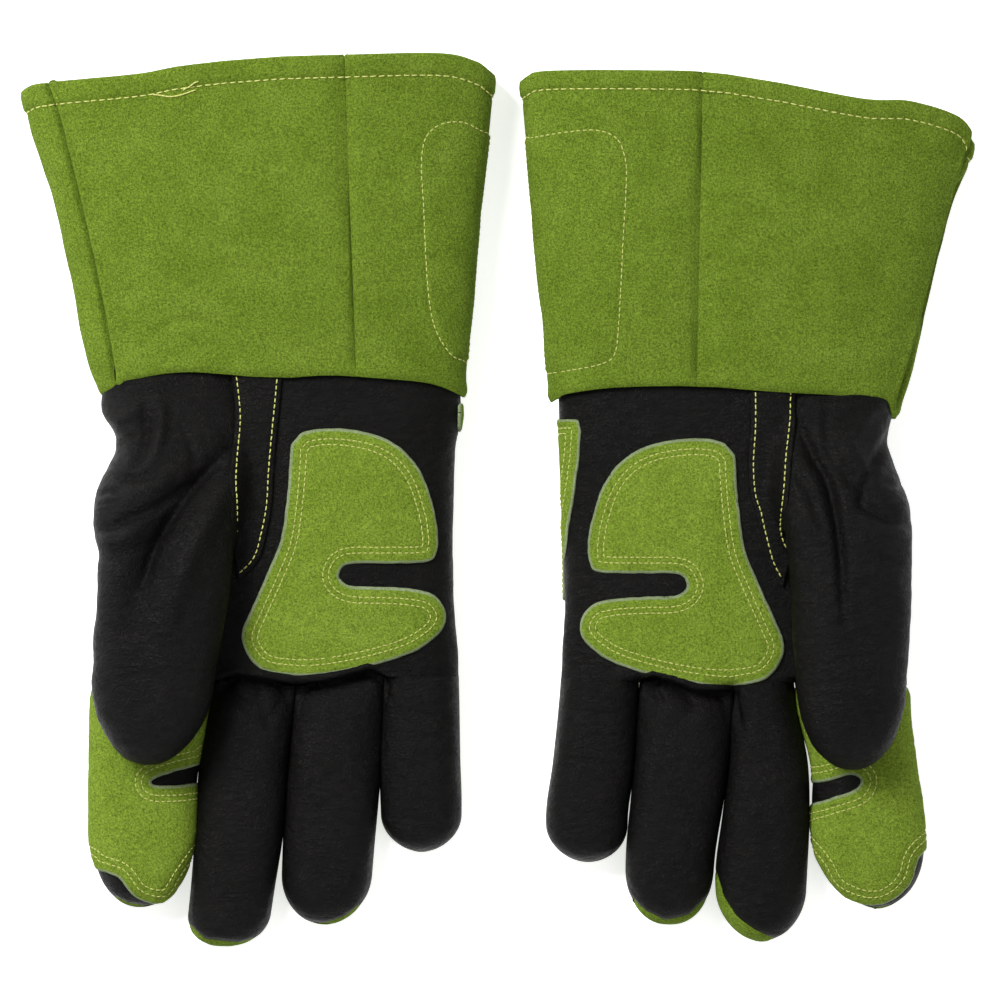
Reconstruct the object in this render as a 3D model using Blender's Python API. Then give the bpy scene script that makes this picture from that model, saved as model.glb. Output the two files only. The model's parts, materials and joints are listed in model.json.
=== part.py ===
"""A pair of gauntlet welding gloves lying palm up, side by side, on a flat surface.

Metres, +Z up. The fingers point along -Y, the cuffs open along +Y, and the back of each hand rests
on z = 0. Each glove is sewn from leather panels: a suede gauntlet cuff, a grain leather palm and
thumb, a suede back, and finger stalls with side gussets. Every panel is its own closed solid, hollow
inside so that a hand can enter, and each part that folds hangs from an empty on its fold line.

A glove is laid out in its own plan coordinates, in millimetres: "across" runs from the glove's centre
line towards the little finger, and "along" is the Y direction. The two gloves mirror each other
across, and each has its own outline because leather never lies twice the same way.
"""

import math
from dataclasses import dataclass

import bmesh
import bpy
import numpy as np

MM = 0.001

# Leather and fabric, in millimetres.
LEATHER = 2.0
LINING = 1.0
PATCH = 1.3
SEAM_GAP = 0.4
LINING_GAP = 0.9
FOLD_GAP = 0.5
PATCH_GAP = 0.8

# Section of the flattened tubes: squarer underneath, where they lie on the table.
TOP_POWER = 2.6
BASE_POWER = 4.0
MID_SHARE = 0.42
SECTION_STEPS = 240
TURN_WEIGHT = 0.12
FLAT_SINK = 0.4

# Where neighbouring points of a panel merge, and where two faces meet in a sharp edge.
MERGE = 1e-6
SHARP_DEGREES = 50
FOLD_LINE_SIZE = 0.02

# Heights above the table, in millimetres.
HAND_TOPS = (22.0, 24.0, 26.0, 28.0, 30.0)
CUFF_TOPS = (30.0, 33.0, 35.0, 37.0, 38.0)
THUMB_REST = (27.0, 24.6)
THUMB_THICK = 22.0

# The middle of the pair, (X, along), which becomes the origin.
PAIR_MIDDLE = (0.02, 0.23)

# Fold lines and seams across the hand, as along values.
KNUCKLES = -74.0
INDEX_FOLD = -107.0
THUMB_FOLD = -24.0
THUMB_START = 1.2
HEEL_PATCH = (-39.0, 31.0)
HEEL_UNDER = 3.0
CUFF_SEAM = 45.0

# The cuff: its length between the edges, its rows, its corners, and the seam under its back.
CUFF_RUN = 125.0
CUFF_ROWS = 6
CUFF_BACK_SEAM = 0.45
CORNER_START = 0.93
CUFF_CORNER = 7.0
SIDE_PATCH_ALONG = (0.10, 0.74)
SIDE_PATCH_AROUND = (-0.07, 0.12)
CUFF_LINING_ALONG = (0.02, 0.93)
CUFF_LINING_CELLS = 18

# The hand: its length between the edges, the palm's cells, and the part of them under the thumb.
HAND_RUN = 120.0
PALM_CELLS = (6, 3)
PALM_CELLS_COVERED = (6, 9)
BACK_CELLS = 10
STRAP_START = 0.003
HAND_LINING_ALONG = (0.03, 0.97)
HAND_LINING_START = 0.01
HAND_LINING_UNDER_STRAP = 3.0
HAND_LINING_CELLS = 14

# The leather over the base of the thumb: how it arches, and how its crown drops towards the cuff.
BASE_ROWS = 6
BASE_POINTS = 10
BASE_ARCH = 0.75
BASE_FALL = 1.2
BASE_RISE_AT_CUFF = 6.5

# The finger stalls: the square cut base, the rounded tip, the gussets and the index patch.
STALL_STEPS = 41
STALL_ROWS = 5
SQUARE_RUN = 18.0
TIP_STEPS = (35.0, 62.0)
TIP_THIN = 0.5
TIP_NARROW = 0.3
TIP_CLOSE = 1.0
FRONT_CELLS = (5, 7)
GUSSET_CELLS = 3
GUSSET_TOP = 0.86
GUSSET_BASE = 0.90
THUMB_CELLS = 9
INDEX_BASE_CELLS = 16
INDEX_PATCH_START = 4.0
INDEX_PATCH_SHORT = 7.0
NOTCH = 7.0
NOTCH_END = -0.1
NOTCH_CELLS = (4, 4)
PATCH_SIDE = 0.8

GREEN_SUEDE = ("green_suede", (0.165, 0.235, 0.028), 0.95)
PATCH_SUEDE = ("patch_suede", (0.215, 0.290, 0.038), 0.95)
BLACK_GRAIN = ("black_grain", (0.012, 0.011, 0.011), 0.55)
LINING_COTTON = ("lining_cotton", (0.62, 0.58, 0.48), 0.90)


@dataclass
class Digit:
    """A finger stall: its centre line and half width, from the base to the tip, and its heights."""

    stations: tuple
    thick: float
    rest: tuple = (0.0, 0.0)
    tip: float = 15.0


@dataclass
class Glove:
    """One glove's plan. side is +1 where the little finger points along +X."""

    name: str
    side: int
    centre: float
    mouth: tuple
    wrist: tuple
    cuff_thumb_rail: tuple
    cuff_little_rail: tuple
    hand_thumb_rail: tuple
    hand_little_rail: tuple
    centre_seam: tuple
    thumb_seam: tuple
    heel_wrap: tuple
    patch_shift: tuple
    digits: dict


# Rails and edges hold values at equal steps: rails from the low edge to the high one, and edges from
# the thumb side to the little finger side.
RIGHT = Glove(
    name="right",
    side=1,
    centre=-90.0,
    mouth=(166.0, 170.4, 176.4, 178.8, 175.5),
    wrist=(40.0, 49.6, 49.2, 47.6, 44.0),
    cuff_thumb_rail=(-70.0, -79.4, -84.6, -93.4, -101.0),
    cuff_little_rail=(76.3, 78.6, 81.4, 84.4, 88.0),
    hand_thumb_rail=(-72.5, -71.5, -71.0, -67.0, -70.0),
    hand_little_rail=(73.2, 72.4, 71.8, 72.4, 76.0),
    centre_seam=(32.6, 28.0),
    thumb_seam=(8.0, 9.5),
    heel_wrap=(2.0, 5.0),
    patch_shift=(0.0, 0.0),
    digits={
        "thumb": Digit(
            ((-43.8, -24.5, 27.0), (-44.6, -45.0, 26.6), (-47.6, -70.0, 24.4), (-50.0, -104.8, 20.0)),
            THUMB_THICK, THUMB_REST, 20.0),
        "index": Digit(
            ((-48.0, -74.5, 23.0), (-52.6, -107.0, 20.0), (-54.2, -135.0, 19.4), (-56.2, -163.0, 16.5)),
            22.0),
        "middle": Digit(
            ((-8.2, -74.5, 14.6), (-10.0, -98.0, 16.0), (-14.2, -128.0, 17.0), (-18.2, -178.0, 16.5)), 23.0),
        "ring": Digit(
            ((25.8, -74.5, 17.0), (23.4, -105.0, 18.0), (21.4, -140.0, 17.8), (18.8, -169.2, 16.5)), 22.0),
        "little": Digit(
            ((58.4, -74.5, 14.6), (58.4, -100.0, 15.6), (58.6, -120.0, 16.0), (59.0, -140.6, 14.5)), 20.0),
    },
)

LEFT = Glove(
    name="left",
    side=-1,
    centre=100.4,
    mouth=(150.0, 160.4, 168.8, 172.0, 176.0),
    wrist=(35.0, 42.4, 44.8, 45.6, 41.0),
    cuff_thumb_rail=(-59.6, -67.2, -73.4, -81.6, -90.6),
    cuff_little_rail=(80.6, 83.8, 86.8, 90.0, 93.2),
    hand_thumb_rail=(-61.0, -63.0, -63.8, -58.5, -59.2),
    hand_little_rail=(75.0, 74.2, 74.6, 75.8, 78.8),
    centre_seam=(22.0, 19.8),
    thumb_seam=(1.0, 2.0),
    heel_wrap=(6.0, 11.0),
    patch_shift=(0.0, -4.0),
    digits={
        "thumb": Digit(
            ((-38.4, -24.5, 25.2), (-39.6, -50.0, 23.6), (-39.8, -75.0, 21.8), (-38.4, -108.0, 17.8)),
            THUMB_THICK, THUMB_REST, 20.0),
        "index": Digit(
            ((-40.5, -74.5, 21.5), (-44.8, -107.0, 20.0), (-46.6, -132.0, 21.8), (-51.0, -163.6, 18.0)),
            22.0),
        "middle": Digit(
            ((-5.0, -74.5, 11.8), (-5.0, -100.0, 14.2), (-6.0, -130.0, 17.2), (-4.6, -176.0, 16.0)), 23.0),
        "ring": Digit(
            ((25.4, -74.5, 17.4), (28.0, -104.0, 17.8), (31.2, -136.0, 17.4), (34.0, -169.4, 15.5)), 22.0),
        "little": Digit(
            ((60.4, -74.5, 14.4), (62.6, -104.0, 15.8), (65.0, -126.0, 16.2), (65.2, -144.2, 14.5)), 20.0),
    },
)

# The palm patch, as rows of (along, thumb side edge, little finger side edge). Its flex notch opens
# towards the little finger between the two lobes.
PALM_PATCH_ROWS = (
    (-68.6, 7.0, 20.0),
    (-66.0, -4.0, 36.0),
    (-59.5, -10.6, 55.0),
    (-52.0, -12.2, 65.0),
    (-45.0, -10.4, 67.0),
    (-39.0, -6.6, 62.5),
    (-36.2, -4.0, 55.0),
    (-35.4, -3.4, 29.0),
    (-30.0, -1.6, 25.2),
    (-25.0, 1.2, 28.0),
    (-24.2, 1.8, 58.0),
    (-20.0, 3.4, 63.6),
    (-10.0, 5.0, 63.8),
    (4.0, 6.8, 59.5),
    (14.0, 7.6, 52.5),
    (21.0, 8.6, 43.0),
    (26.6, 13.0, 30.0),
)

# The strap beside the thumb, as rows of (along, thumb side edge, little finger side edge).
STRAP_ROWS = (
    (THUMB_FOLD, -15.4, -9.0),
    (-8.0, -15.8, -1.4),
    (8.0, -16.0, 1.2),
    (24.0, -16.4, 3.0),
    (CUFF_SEAM, -16.8, 3.6),
)


def steps(values, at):
    """A smooth curve through values at equal steps over 0 to 1 (Catmull-Rom)."""
    last = len(values) - 1
    place = min(max(at, 0.0), 1.0) * last
    i = min(int(place), last - 1)
    t = place - i
    p1, p2 = values[i], values[i + 1]
    p0 = values[i - 1] if i > 0 else 2 * p1 - p2
    p3 = values[i + 2] if i + 2 <= last else 2 * p2 - p1
    bend = 2 * p0 - 5 * p1 + 4 * p2 - p3
    turn = -p0 + 3 * p1 - 3 * p2 + p3
    return 0.5 * (2 * p1 + (p2 - p0) * t + bend * t * t + turn * t**3)


class Section:
    """A flattened tube's closed outline in the vertical plane, read by its share of the way round.

    Share 0 is the extreme on the little finger side, and the way round goes over the top. The share
    counts length and turning alike, so equal shares put more points round the tight sides.
    """

    def __init__(self, half, top, base):
        self.half, self.top, self.base = half, top, base
        self.angle = np.linspace(0.0, 2 * math.pi, SECTION_STEPS + 1)
        across, up = self.trace(self.angle, 0.0)
        legs = np.hypot(np.diff(across), np.diff(up))
        heading = np.unwrap(np.arctan2(np.diff(up), np.diff(across)))
        turning = np.abs(np.gradient(heading))
        self.around = legs.sum()
        path = np.concatenate([[0.0], np.cumsum(legs / self.around + TURN_WEIGHT * turning)])
        self.share = path / path[-1]
        self.across = across
        self.turn = SECTION_STEPS // 2

    def trace(self, angle, inset):
        """The outline's points at these angles, this far inside it."""
        cosine, sine = np.cos(angle), np.sin(angle)
        upper = sine >= 0
        power = np.where(upper, 2 / TOP_POWER, 2 / BASE_POWER)
        mid = self.base + MID_SHARE * (self.top - self.base)
        reach = np.where(upper, self.top - mid, mid - self.base + FLAT_SINK) - inset
        up = mid + reach * np.sign(sine) * np.abs(sine) ** power
        across = (self.half - inset) * np.sign(cosine) * np.abs(cosine) ** power
        return across, np.maximum(up, self.base + inset)

    def at(self, share, inset=0.0):
        """(across, up) at a share of the way round. Shares below 0 or above 1 go on round."""
        across, up = self.trace(np.interp(share % 1.0, self.share, self.angle), inset)
        return float(across), float(up)

    def on_top(self, across):
        """The share where the top half has this across value."""
        upper = slice(self.turn, None, -1)
        return float(np.interp(across, self.across[upper], self.share[upper]))

    def underneath(self, across):
        """The share where the lower half has this across value."""
        lower = slice(self.turn, None)
        return float(np.interp(across, self.across[lower], self.share[lower]))

    @property
    def thumb_edge(self):
        return float(self.share[self.turn])


class Trunk:
    """The hand or the cuff: a tube between two edges that curve across it."""

    def __init__(self, low_edge, high_edge, thumb_rail, little_rail, tops, corner=0.0):
        self.low_edge, self.high_edge = low_edge, high_edge
        self.thumb_rail, self.little_rail = thumb_rail, little_rail
        self.tops, self.corner = tops, corner

    def sides(self, v):
        low, high = steps(self.thumb_rail, v), steps(self.little_rail, v)
        return (low + high) / 2, (high - low) / 2

    def section(self, v):
        return Section(self.sides(v)[1], steps(self.tops, v), 0.0)

    def along(self, v, across_share):
        low = steps(self.low_edge, (across_share + 1) / 2)
        high = steps(self.high_edge, (across_share + 1) / 2)
        over = max(0.0, abs(across_share) - CORNER_START) / (1 - CORNER_START)
        return low + (high - self.corner * over**2 - low) * v

    def point(self, v, share, inset=0.0):
        mid, half = self.sides(v)
        across, up = self.section(v).at(share, inset)
        return mid + across, self.along(v, across / half), up

    def v_at(self, across, along):
        """The place between the edges of a plan point."""
        v = 0.5
        for _ in range(4):
            mid, half = self.sides(v)
            place = min(max((across - mid) / half, -1.0), 1.0)
            low, high = self.along(0.0, place), self.along(1.0, place)
            v = (along - low) / (high - low)
        return v

    def above(self, across, along, lift):
        """The point at this height over the top surface at a plan position."""
        v = self.v_at(across, along)
        mid = self.sides(v)[0]
        ring = self.section(v)
        return across, along, ring.at(ring.on_top(across - mid))[1] + lift

    def seam(self, v, across):
        """The share of the way round where a seam at this across value lies on top."""
        return self.section(v).on_top(across - self.sides(v)[0])


class Stall:
    """A digit's tube, read by its distance from the base."""

    def __init__(self, digit):
        self.digit = digit
        plan = np.array([steps_of(digit.stations, t) for t in np.linspace(0, 1, STALL_STEPS)])
        legs = np.hypot(*np.diff(plan[:, :2], axis=0).T)
        self.plan = plan
        self.run = np.concatenate([[0.0], np.cumsum(legs)])
        self.length = float(self.run[-1])

    def centre(self, s):
        return np.array([np.interp(s, self.run, self.plan[:, k]) for k in range(2)])

    def frame(self, s):
        """Centre, unit vector towards the little finger side, half width, top and base at s.

        The base of a stall is cut square, along its fold line.
        """
        ahead = self.centre(min(s + 1.0, self.length)) - self.centre(max(s - 1.0, 0.0))
        towards = np.array([-ahead[1], ahead[0]]) / np.linalg.norm(ahead)
        square = max(0.0, 1 - s / SQUARE_RUN)
        towards = towards * (1 - square) + np.array([1.0, 0.0]) * square
        towards /= np.linalg.norm(towards)
        half = float(np.interp(s, self.run, self.plan[:, 2]))
        low = np.interp(s, (0, self.length), self.digit.rest)
        mid = low + MID_SHARE * self.digit.thick
        top = low + self.digit.thick
        into = max(0.0, s - (self.length - self.digit.tip)) / self.digit.tip
        round_off = math.sqrt(max(0.0, 1 - into**2))
        thin = TIP_THIN + (1 - TIP_THIN) * round_off
        return (
            self.centre(s), towards, half * max(round_off, TIP_NARROW),
            mid + (top - mid) * thin, mid - (mid - low) * thin,
        )

    def section(self, s):
        return Section(*self.frame(s)[2:])

    def point(self, s, share, inset=0.0):
        centre, towards, _, _, _ = self.frame(s)
        across, up = self.section(s).at(share, inset)
        place = centre + towards * across
        return place[0], place[1], up

    def rows(self, start, end, count):
        """Distances from start to end, closer together round the tip."""
        straight = self.length - self.digit.tip
        if end <= straight:
            return list(np.linspace(start, end, count))
        body = list(np.linspace(start, straight, count))
        tip = [straight + self.digit.tip * math.sin(math.radians(a)) for a in TIP_STEPS]
        return [s for s in body + tip if s < end - TIP_CLOSE] + [end]


def steps_of(stations, at):
    """A digit's across, along and half width at a share of its length."""
    return [steps([station[k] for station in stations], at) for k in range(3)]


def material(finish):
    """The material of a finish, made once."""
    name, colour, roughness = finish
    found = bpy.data.materials.get(name)
    if found:
        return found
    made = bpy.data.materials.new(name)
    made.use_nodes = True
    shader = made.node_tree.nodes["Principled BSDF"]
    shader.inputs["Base Color"].default_value = (*colour, 1.0)
    shader.inputs["Roughness"].default_value = roughness
    shader.inputs["Metallic"].default_value = 0.0
    made.diffuse_color = (*colour, 1.0)
    return made


def world(glove, across, along, up):
    """A glove's plan point in the pair's frame, in metres."""
    x = glove.centre + glove.side * across - PAIR_MIDDLE[0]
    return x * MM, (along - PAIR_MIDDLE[1]) * MM, up * MM


def empty(name, place, axis, parent=None):
    """A fold line: an empty with its own X along the line."""
    made = bpy.data.objects.new(name, None)
    bpy.context.scene.collection.objects.link(made)
    made.empty_display_size = FOLD_LINE_SIZE
    made.rotation_euler = (0.0, 0.0, math.atan2(axis[1], axis[0]))
    made.location = place
    bpy.context.view_layer.update()
    if parent is not None:
        made.parent = parent
        made.matrix_parent_inverse = parent.matrix_world.inverted()
    bpy.context.view_layer.update()
    return made


def shell(name, outer, inner, finish, parent, glove, ring=False, absent=()):
    """A sheet of leather between two grids of points, closed at its edges, or round for a ring.

    absent holds the (row, column) cells that are cut away.
    """
    mesh = bmesh.new()
    skins = [[[mesh.verts.new(world(glove, *point)) for point in row] for row in grid]
             for grid in (outer, inner)]
    columns = len(outer[0])
    spans = columns if ring else columns - 1
    edges = set()
    for i in range(len(outer) - 1):
        for j in range(spans):
            if (i, j) in absent:
                continue
            k = (j + 1) % columns
            corners = [(i, j), (i + 1, j), (i + 1, k), (i, k)]
            for grid, turn in zip(skins, (1, -1)):
                mesh.faces.new([grid[a][b] for a, b in corners][::turn])
            edges.update(zip(corners, corners[1:] + corners[:1]))
    for (a, b), (c, d) in edges:
        if ((c, d), (a, b)) not in edges:
            mesh.faces.new([skins[0][a][b], skins[0][c][d], skins[1][c][d], skins[1][a][b]])
    loose = [v for v in mesh.verts if not v.link_faces]
    bmesh.ops.delete(mesh, geom=loose, context="VERTS")
    bmesh.ops.remove_doubles(mesh, verts=mesh.verts, dist=MERGE)
    bmesh.ops.triangulate(mesh, faces=mesh.faces)
    bmesh.ops.recalc_face_normals(mesh, faces=mesh.faces)
    data = bpy.data.meshes.new(name)
    mesh.to_mesh(data)
    mesh.free()
    data.materials.append(material(finish))
    data.shade_smooth()
    data.set_sharp_from_angle(angle=math.radians(SHARP_DEGREES))
    made = bpy.data.objects.new(name, data)
    bpy.context.scene.collection.objects.link(made)
    if parent is not None:
        data.transform(parent.matrix_world.inverted())
        made.parent = parent
    return made


def tube_panel(name, tube, rows, seams, columns, finish, parent, glove,
               outside=0.0, thick=LEATHER, absent=()):
    """A panel of a tube.

    rows are places along it. For each row, seams holds the shares where the panel starts and ends,
    with any shares between them that it has to pass through, and columns is the cells per stretch.
    """
    columns = [columns] if isinstance(columns, int) else columns

    def grid(inset):
        found = []
        for place, stops in zip(rows, seams):
            margin = SEAM_GAP / 2 / tube.section(place).around
            stops = [stops[0] + margin, *stops[1:-1], stops[-1] - margin]
            shares = [stops[0]]
            for low, high, count in zip(stops, stops[1:], columns):
                shares += list(np.linspace(low, high, count + 1))[1:]
            found.append([tube.point(place, share, inset) for share in shares])
        return found

    return shell(name, grid(-outside), grid(thick - outside), finish, parent, glove, absent=absent)


def tube_ring(name, tube, rows, columns, outside, thick, finish, parent, glove):
    """A whole ring of a tube, such as a lining."""
    shares = np.arange(columns) / columns
    grids = [[[tube.point(v, s, inset) for s in shares] for v in rows]
             for inset in (-outside, thick - outside)]
    return shell(name, grids[0], grids[1], finish, parent, glove, ring=True)


def plan_patch(name, trunk, rows, columns, lift, thick, finish, parent, glove):
    """A patch that lies on the top of a trunk, given as plan rows."""

    def grid(height):
        return [
            [trunk.above(across, along, height) for across in np.linspace(low, high, columns)]
            for along, low, high in rows
        ]

    return shell(name, grid(lift + thick), grid(lift), finish, parent, glove)


def row_at(rows, along, column):
    """Reads one column of a table of plan rows at an along value."""
    return float(np.interp(along, [r[0] for r in rows], [r[column] for r in rows]))


def add_cuff(glove, parent):
    """The gauntlet: three suede panels, a patch sewn inside its little finger side, and a lining."""
    cuff = Trunk(
        glove.wrist, glove.mouth, glove.cuff_thumb_rail, glove.cuff_little_rail, CUFF_TOPS, CUFF_CORNER)
    rows = np.linspace(FOLD_GAP / 2 / CUFF_RUN, 1.0, CUFF_ROWS)
    thumb_line = [steps(glove.cuff_thumb_rail, v) + np.interp(v, (0, 1), glove.thumb_seam) for v in rows]
    centre = [cuff.seam(v, np.interp(v, (0, 1), glove.centre_seam)) for v in rows]
    thumb = [cuff.seam(v, across) for v, across in zip(rows, thumb_line)]
    back = [cuff.section(v).underneath(CUFF_BACK_SEAM * cuff.sides(v)[1]) for v in rows]
    around = {
        "cuff_palm_panel": (list(zip(centre, thumb)), 7),
        "cuff_side_panel": ([(b - 1, c) for b, c in zip(back, centre)], 8),
        "cuff_back_panel": (list(zip(thumb, back)), 10),
    }
    for label, (spans, columns) in around.items():
        tube_panel(f"{glove.name}_{label}", cuff, rows, spans, columns, GREEN_SUEDE, parent, glove)

    depth = LEATHER + LINING_GAP
    patch_rows = np.linspace(*SIDE_PATCH_ALONG, 5)
    spans = [SIDE_PATCH_AROUND] * len(patch_rows)
    tube_panel(f"{glove.name}_cuff_side_patch", cuff, patch_rows, spans, 6, GREEN_SUEDE, parent, glove,
               outside=-depth, thick=PATCH)
    depth += PATCH + LINING_GAP
    lining_rows = np.linspace(*CUFF_LINING_ALONG, 4)
    tube_ring(f"{glove.name}_cuff_lining", cuff, lining_rows, CUFF_LINING_CELLS, -depth, LINING,
              LINING_COTTON, parent, glove)
    return cuff


def add_hand(glove, parent):
    """The palm, the strap and base of the thumb, the back, two patches on the palm side, and a lining."""
    low_edge = (KNUCKLES,) * 5
    hand = Trunk(low_edge, glove.wrist, glove.hand_thumb_rail, glove.hand_little_rail, HAND_TOPS)
    end = 1.0 - FOLD_GAP / 2 / HAND_RUN
    fold = hand.v_at(hand.sides(0.5)[0], THUMB_FOLD)

    def strap_edge(v, column):
        middle = hand.sides(v)[0]
        return row_at(STRAP_ROWS, hand.along(v, (STRAP_ROWS[0][1] - middle) / hand.sides(v)[1]), column)

    def strap_margin(v):
        return -SEAM_GAP / 2 / hand.section(v).around

    # The palm runs under the thumb as far as the thumb's fold, and stops at the strap above it.
    beside = [hand.v_at(STRAP_ROWS[0][2], a) for a, _, _ in STRAP_ROWS[:-1]]
    under_thumb = [0.0, beside[0] * 0.5]
    rows = under_thumb + beside + [end]
    seams = []
    for v in rows:
        edge = hand.section(v).thumb_edge
        seams.append((0.0, hand.seam(v, strap_edge(v, 2)) + strap_margin(v), edge))
    covered = {(i, j) for i in range(len(under_thumb), len(rows)) for j in range(*PALM_CELLS_COVERED)}
    tube_panel(f"{glove.name}_palm", hand, rows, seams, PALM_CELLS, BLACK_GRAIN, parent, glove, absent=covered)

    strap_rows = [beside[0] + STRAP_START] + beside[1:] + [end]
    seams = [(hand.seam(v, strap_edge(v, 2)), hand.seam(v, strap_edge(v, 1))) for v in strap_rows]
    tube_panel(f"{glove.name}_thumb_strap", hand, strap_rows, seams, 2, BLACK_GRAIN, parent, glove)
    add_thumb_base(glove, parent, hand, strap_edge, fold, end)

    seams = [(hand.section(v).thumb_edge, 1.0) for v in rows]
    tube_panel(f"{glove.name}_back", hand, rows, seams, BACK_CELLS, GREEN_SUEDE, parent, glove)

    little_rail = sum(hand.sides(0.5))
    heel_rows = [hand.v_at(little_rail, along) for along in np.linspace(*HEEL_PATCH, 4)]
    seams = []
    for v in heel_rows:
        ring = hand.section(v)
        wrap = np.interp(v, (heel_rows[0], heel_rows[-1]), glove.heel_wrap)
        seams.append((ring.underneath(ring.half - HEEL_UNDER) - 1, ring.on_top(ring.half - wrap)))
    tube_panel(f"{glove.name}_heel_patch", hand, heel_rows, seams, 6, PATCH_SUEDE, parent, glove,
               outside=PATCH_GAP + PATCH, thick=PATCH)

    patch_rows = [(a + glove.patch_shift[1], low + glove.patch_shift[0], high + glove.patch_shift[0])
                  for a, low, high in PALM_PATCH_ROWS]
    plan_patch(f"{glove.name}_palm_patch", hand, patch_rows, 5, PATCH_GAP, PATCH, PATCH_SUEDE, parent, glove)

    rows = np.linspace(*HAND_LINING_ALONG, 5)
    spans = []
    for v in rows:
        under_strap = hand.seam(v, strap_edge(v, 2) + HAND_LINING_UNDER_STRAP)
        spans.append((hand.section(v).thumb_edge + HAND_LINING_START, 1.0 + under_strap))
    tube_panel(f"{glove.name}_hand_lining", hand, rows, spans, HAND_LINING_CELLS, LINING_COTTON, parent,
               glove, outside=-(LEATHER + LINING_GAP), thick=LINING)
    return hand


def add_thumb_base(glove, parent, hand, strap_edge, fold, end):
    """The leather over the base of the thumb, from the cuff to the thumb's fold."""
    thumb = Stall(glove.digits["thumb"])
    crown = thumb.frame(0.0)[3]
    near = THUMB_FOLD + FOLD_GAP / 2
    rows = np.linspace(fold, end, BASE_ROWS)
    arch = []
    for turn in np.linspace(0.0, math.pi, BASE_POINTS):
        reach = math.copysign(abs(math.cos(turn)) ** BASE_ARCH, math.cos(turn))
        arch.append((0.5 - 0.5 * reach, math.sin(turn) ** BASE_ARCH))
    outer, inner = [], []
    for v in rows:
        mid, half = hand.sides(v)
        ring = hand.section(v)
        low = (mid - half, ring.at(ring.thumb_edge)[1] + SEAM_GAP)
        edge = strap_edge(v, 1)
        high = (edge, ring.at(hand.seam(v, edge))[1])
        share = (v - fold) / (end - fold)
        rise = (crown - (low[1] + high[1]) / 2) * (1 - share) ** BASE_FALL + BASE_RISE_AT_CUFF * share
        line = np.array([
            (low[0] + (high[0] - low[0]) * t, low[1] + (high[1] - low[1]) * t + rise * lift)
            for t, lift in arch])
        slope = np.gradient(line, axis=0)
        inward = np.stack([slope[:, 1], -slope[:, 0]], axis=1) / np.linalg.norm(slope, axis=1)[:, None]
        inward[0], inward[-1] = (1.0, 0.0), (0.0, -1.0)
        for grid, skin in ((outer, line), (inner, line + inward * LEATHER)):
            row = []
            for (across, up), (start, _) in zip(skin, line):
                far = hand.along(end, min(1.0, max(-1.0, (start - mid) / half)))
                row.append((across, near + (far - near) * share, up))
            grid.append(row)
    shell(f"{glove.name}_thumb_base", outer, inner, BLACK_GRAIN, parent, glove)


def digit_spans(stall, rows):
    """The seams round a stall at each row: gusset tops and bottoms, and the two side extremes."""
    found = []
    for s in rows:
        ring, half = stall.section(s), stall.frame(s)[2]
        found.append({
            "little_top": ring.on_top(GUSSET_TOP * half),
            "thumb_top": ring.on_top(-GUSSET_TOP * half),
            "thumb_edge": ring.thumb_edge,
            "thumb_base": ring.underneath(-GUSSET_BASE * half),
            "little_base": ring.underneath(GUSSET_BASE * half),
        })
    return found


def capped_panel(name, stall, rows, spans, columns, finish, parent, glove, upwards):
    """A panel that also closes the end of its stall with a toe that turns up, or down."""

    def grid(inset, shorten):
        found = []
        for s, (start, end) in zip(rows, spans):
            margin = SEAM_GAP / 2 / stall.section(s).around
            shares = np.linspace(start + margin, end - margin, columns)
            place = s - shorten if s == rows[-1] else s
            found.append([stall.point(place, share, inset) for share in shares])
        ring = stall.section(rows[-1])
        half = stall.frame(rows[-1])[2]
        toe = []
        centre, towards = stall.frame(rows[-1])[:2]
        for across, along, up in found[-1]:
            place = float(np.dot(np.array([across, along]) - centre, towards))
            place = min(max(place, -half), half)
            share = ring.on_top(place) if upwards else ring.underneath(place)
            far = ring.at(share)[1]
            toe.append((across, along, max(up, far) if upwards else min(up, far)))
        return found + [toe]

    return shell(name, grid(0.0, 0.0), grid(LEATHER, LEATHER), finish, parent, glove)


def add_finger(glove, name, stall, parent, start, gussets, inner_side):
    """A finger stall: a grain leather front, a suede back turned up over the tip, and side gussets."""
    short = stall.length - LEATHER - SEAM_GAP
    rows = stall.rows(start, short, STALL_ROWS)
    back_rows = stall.rows(start, stall.length, STALL_ROWS)
    seams, back_seams = digit_spans(stall, rows), digit_spans(stall, back_rows)
    if gussets:
        front = [(k["little_top"], k["thumb_top"]) for k in seams]
        back = [(k["thumb_base"], k["little_base"]) for k in back_seams]
        sides = {
            "little_side_gusset": [(k["little_base"] - 1, k["little_top"]) for k in seams],
            "thumb_side_gusset": [(k["thumb_top"], k["thumb_base"]) for k in seams],
        }
        for label, spans in sides.items():
            tube_panel(f"{glove.name}_{name}_{label}", stall, rows, spans, GUSSET_CELLS, BLACK_GRAIN,
                       parent, glove)
    elif inner_side == "little":
        front = [(k["little_base"] - 1, k["thumb_edge"]) for k in seams]
        back = [(k["thumb_edge"], k["little_base"]) for k in back_seams]
    else:
        front = [(0.0, k["thumb_base"]) for k in seams]
        back = [(k["thumb_base"], 1.0) for k in back_seams]
    cells = FRONT_CELLS[0] if gussets else FRONT_CELLS[1]
    tube_panel(f"{glove.name}_{name}_front", stall, rows, front, cells, BLACK_GRAIN, parent, glove)
    capped_panel(f"{glove.name}_{name}_back", stall, back_rows, back, FRONT_CELLS[1], GREEN_SUEDE, parent,
                 glove, True)


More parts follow.
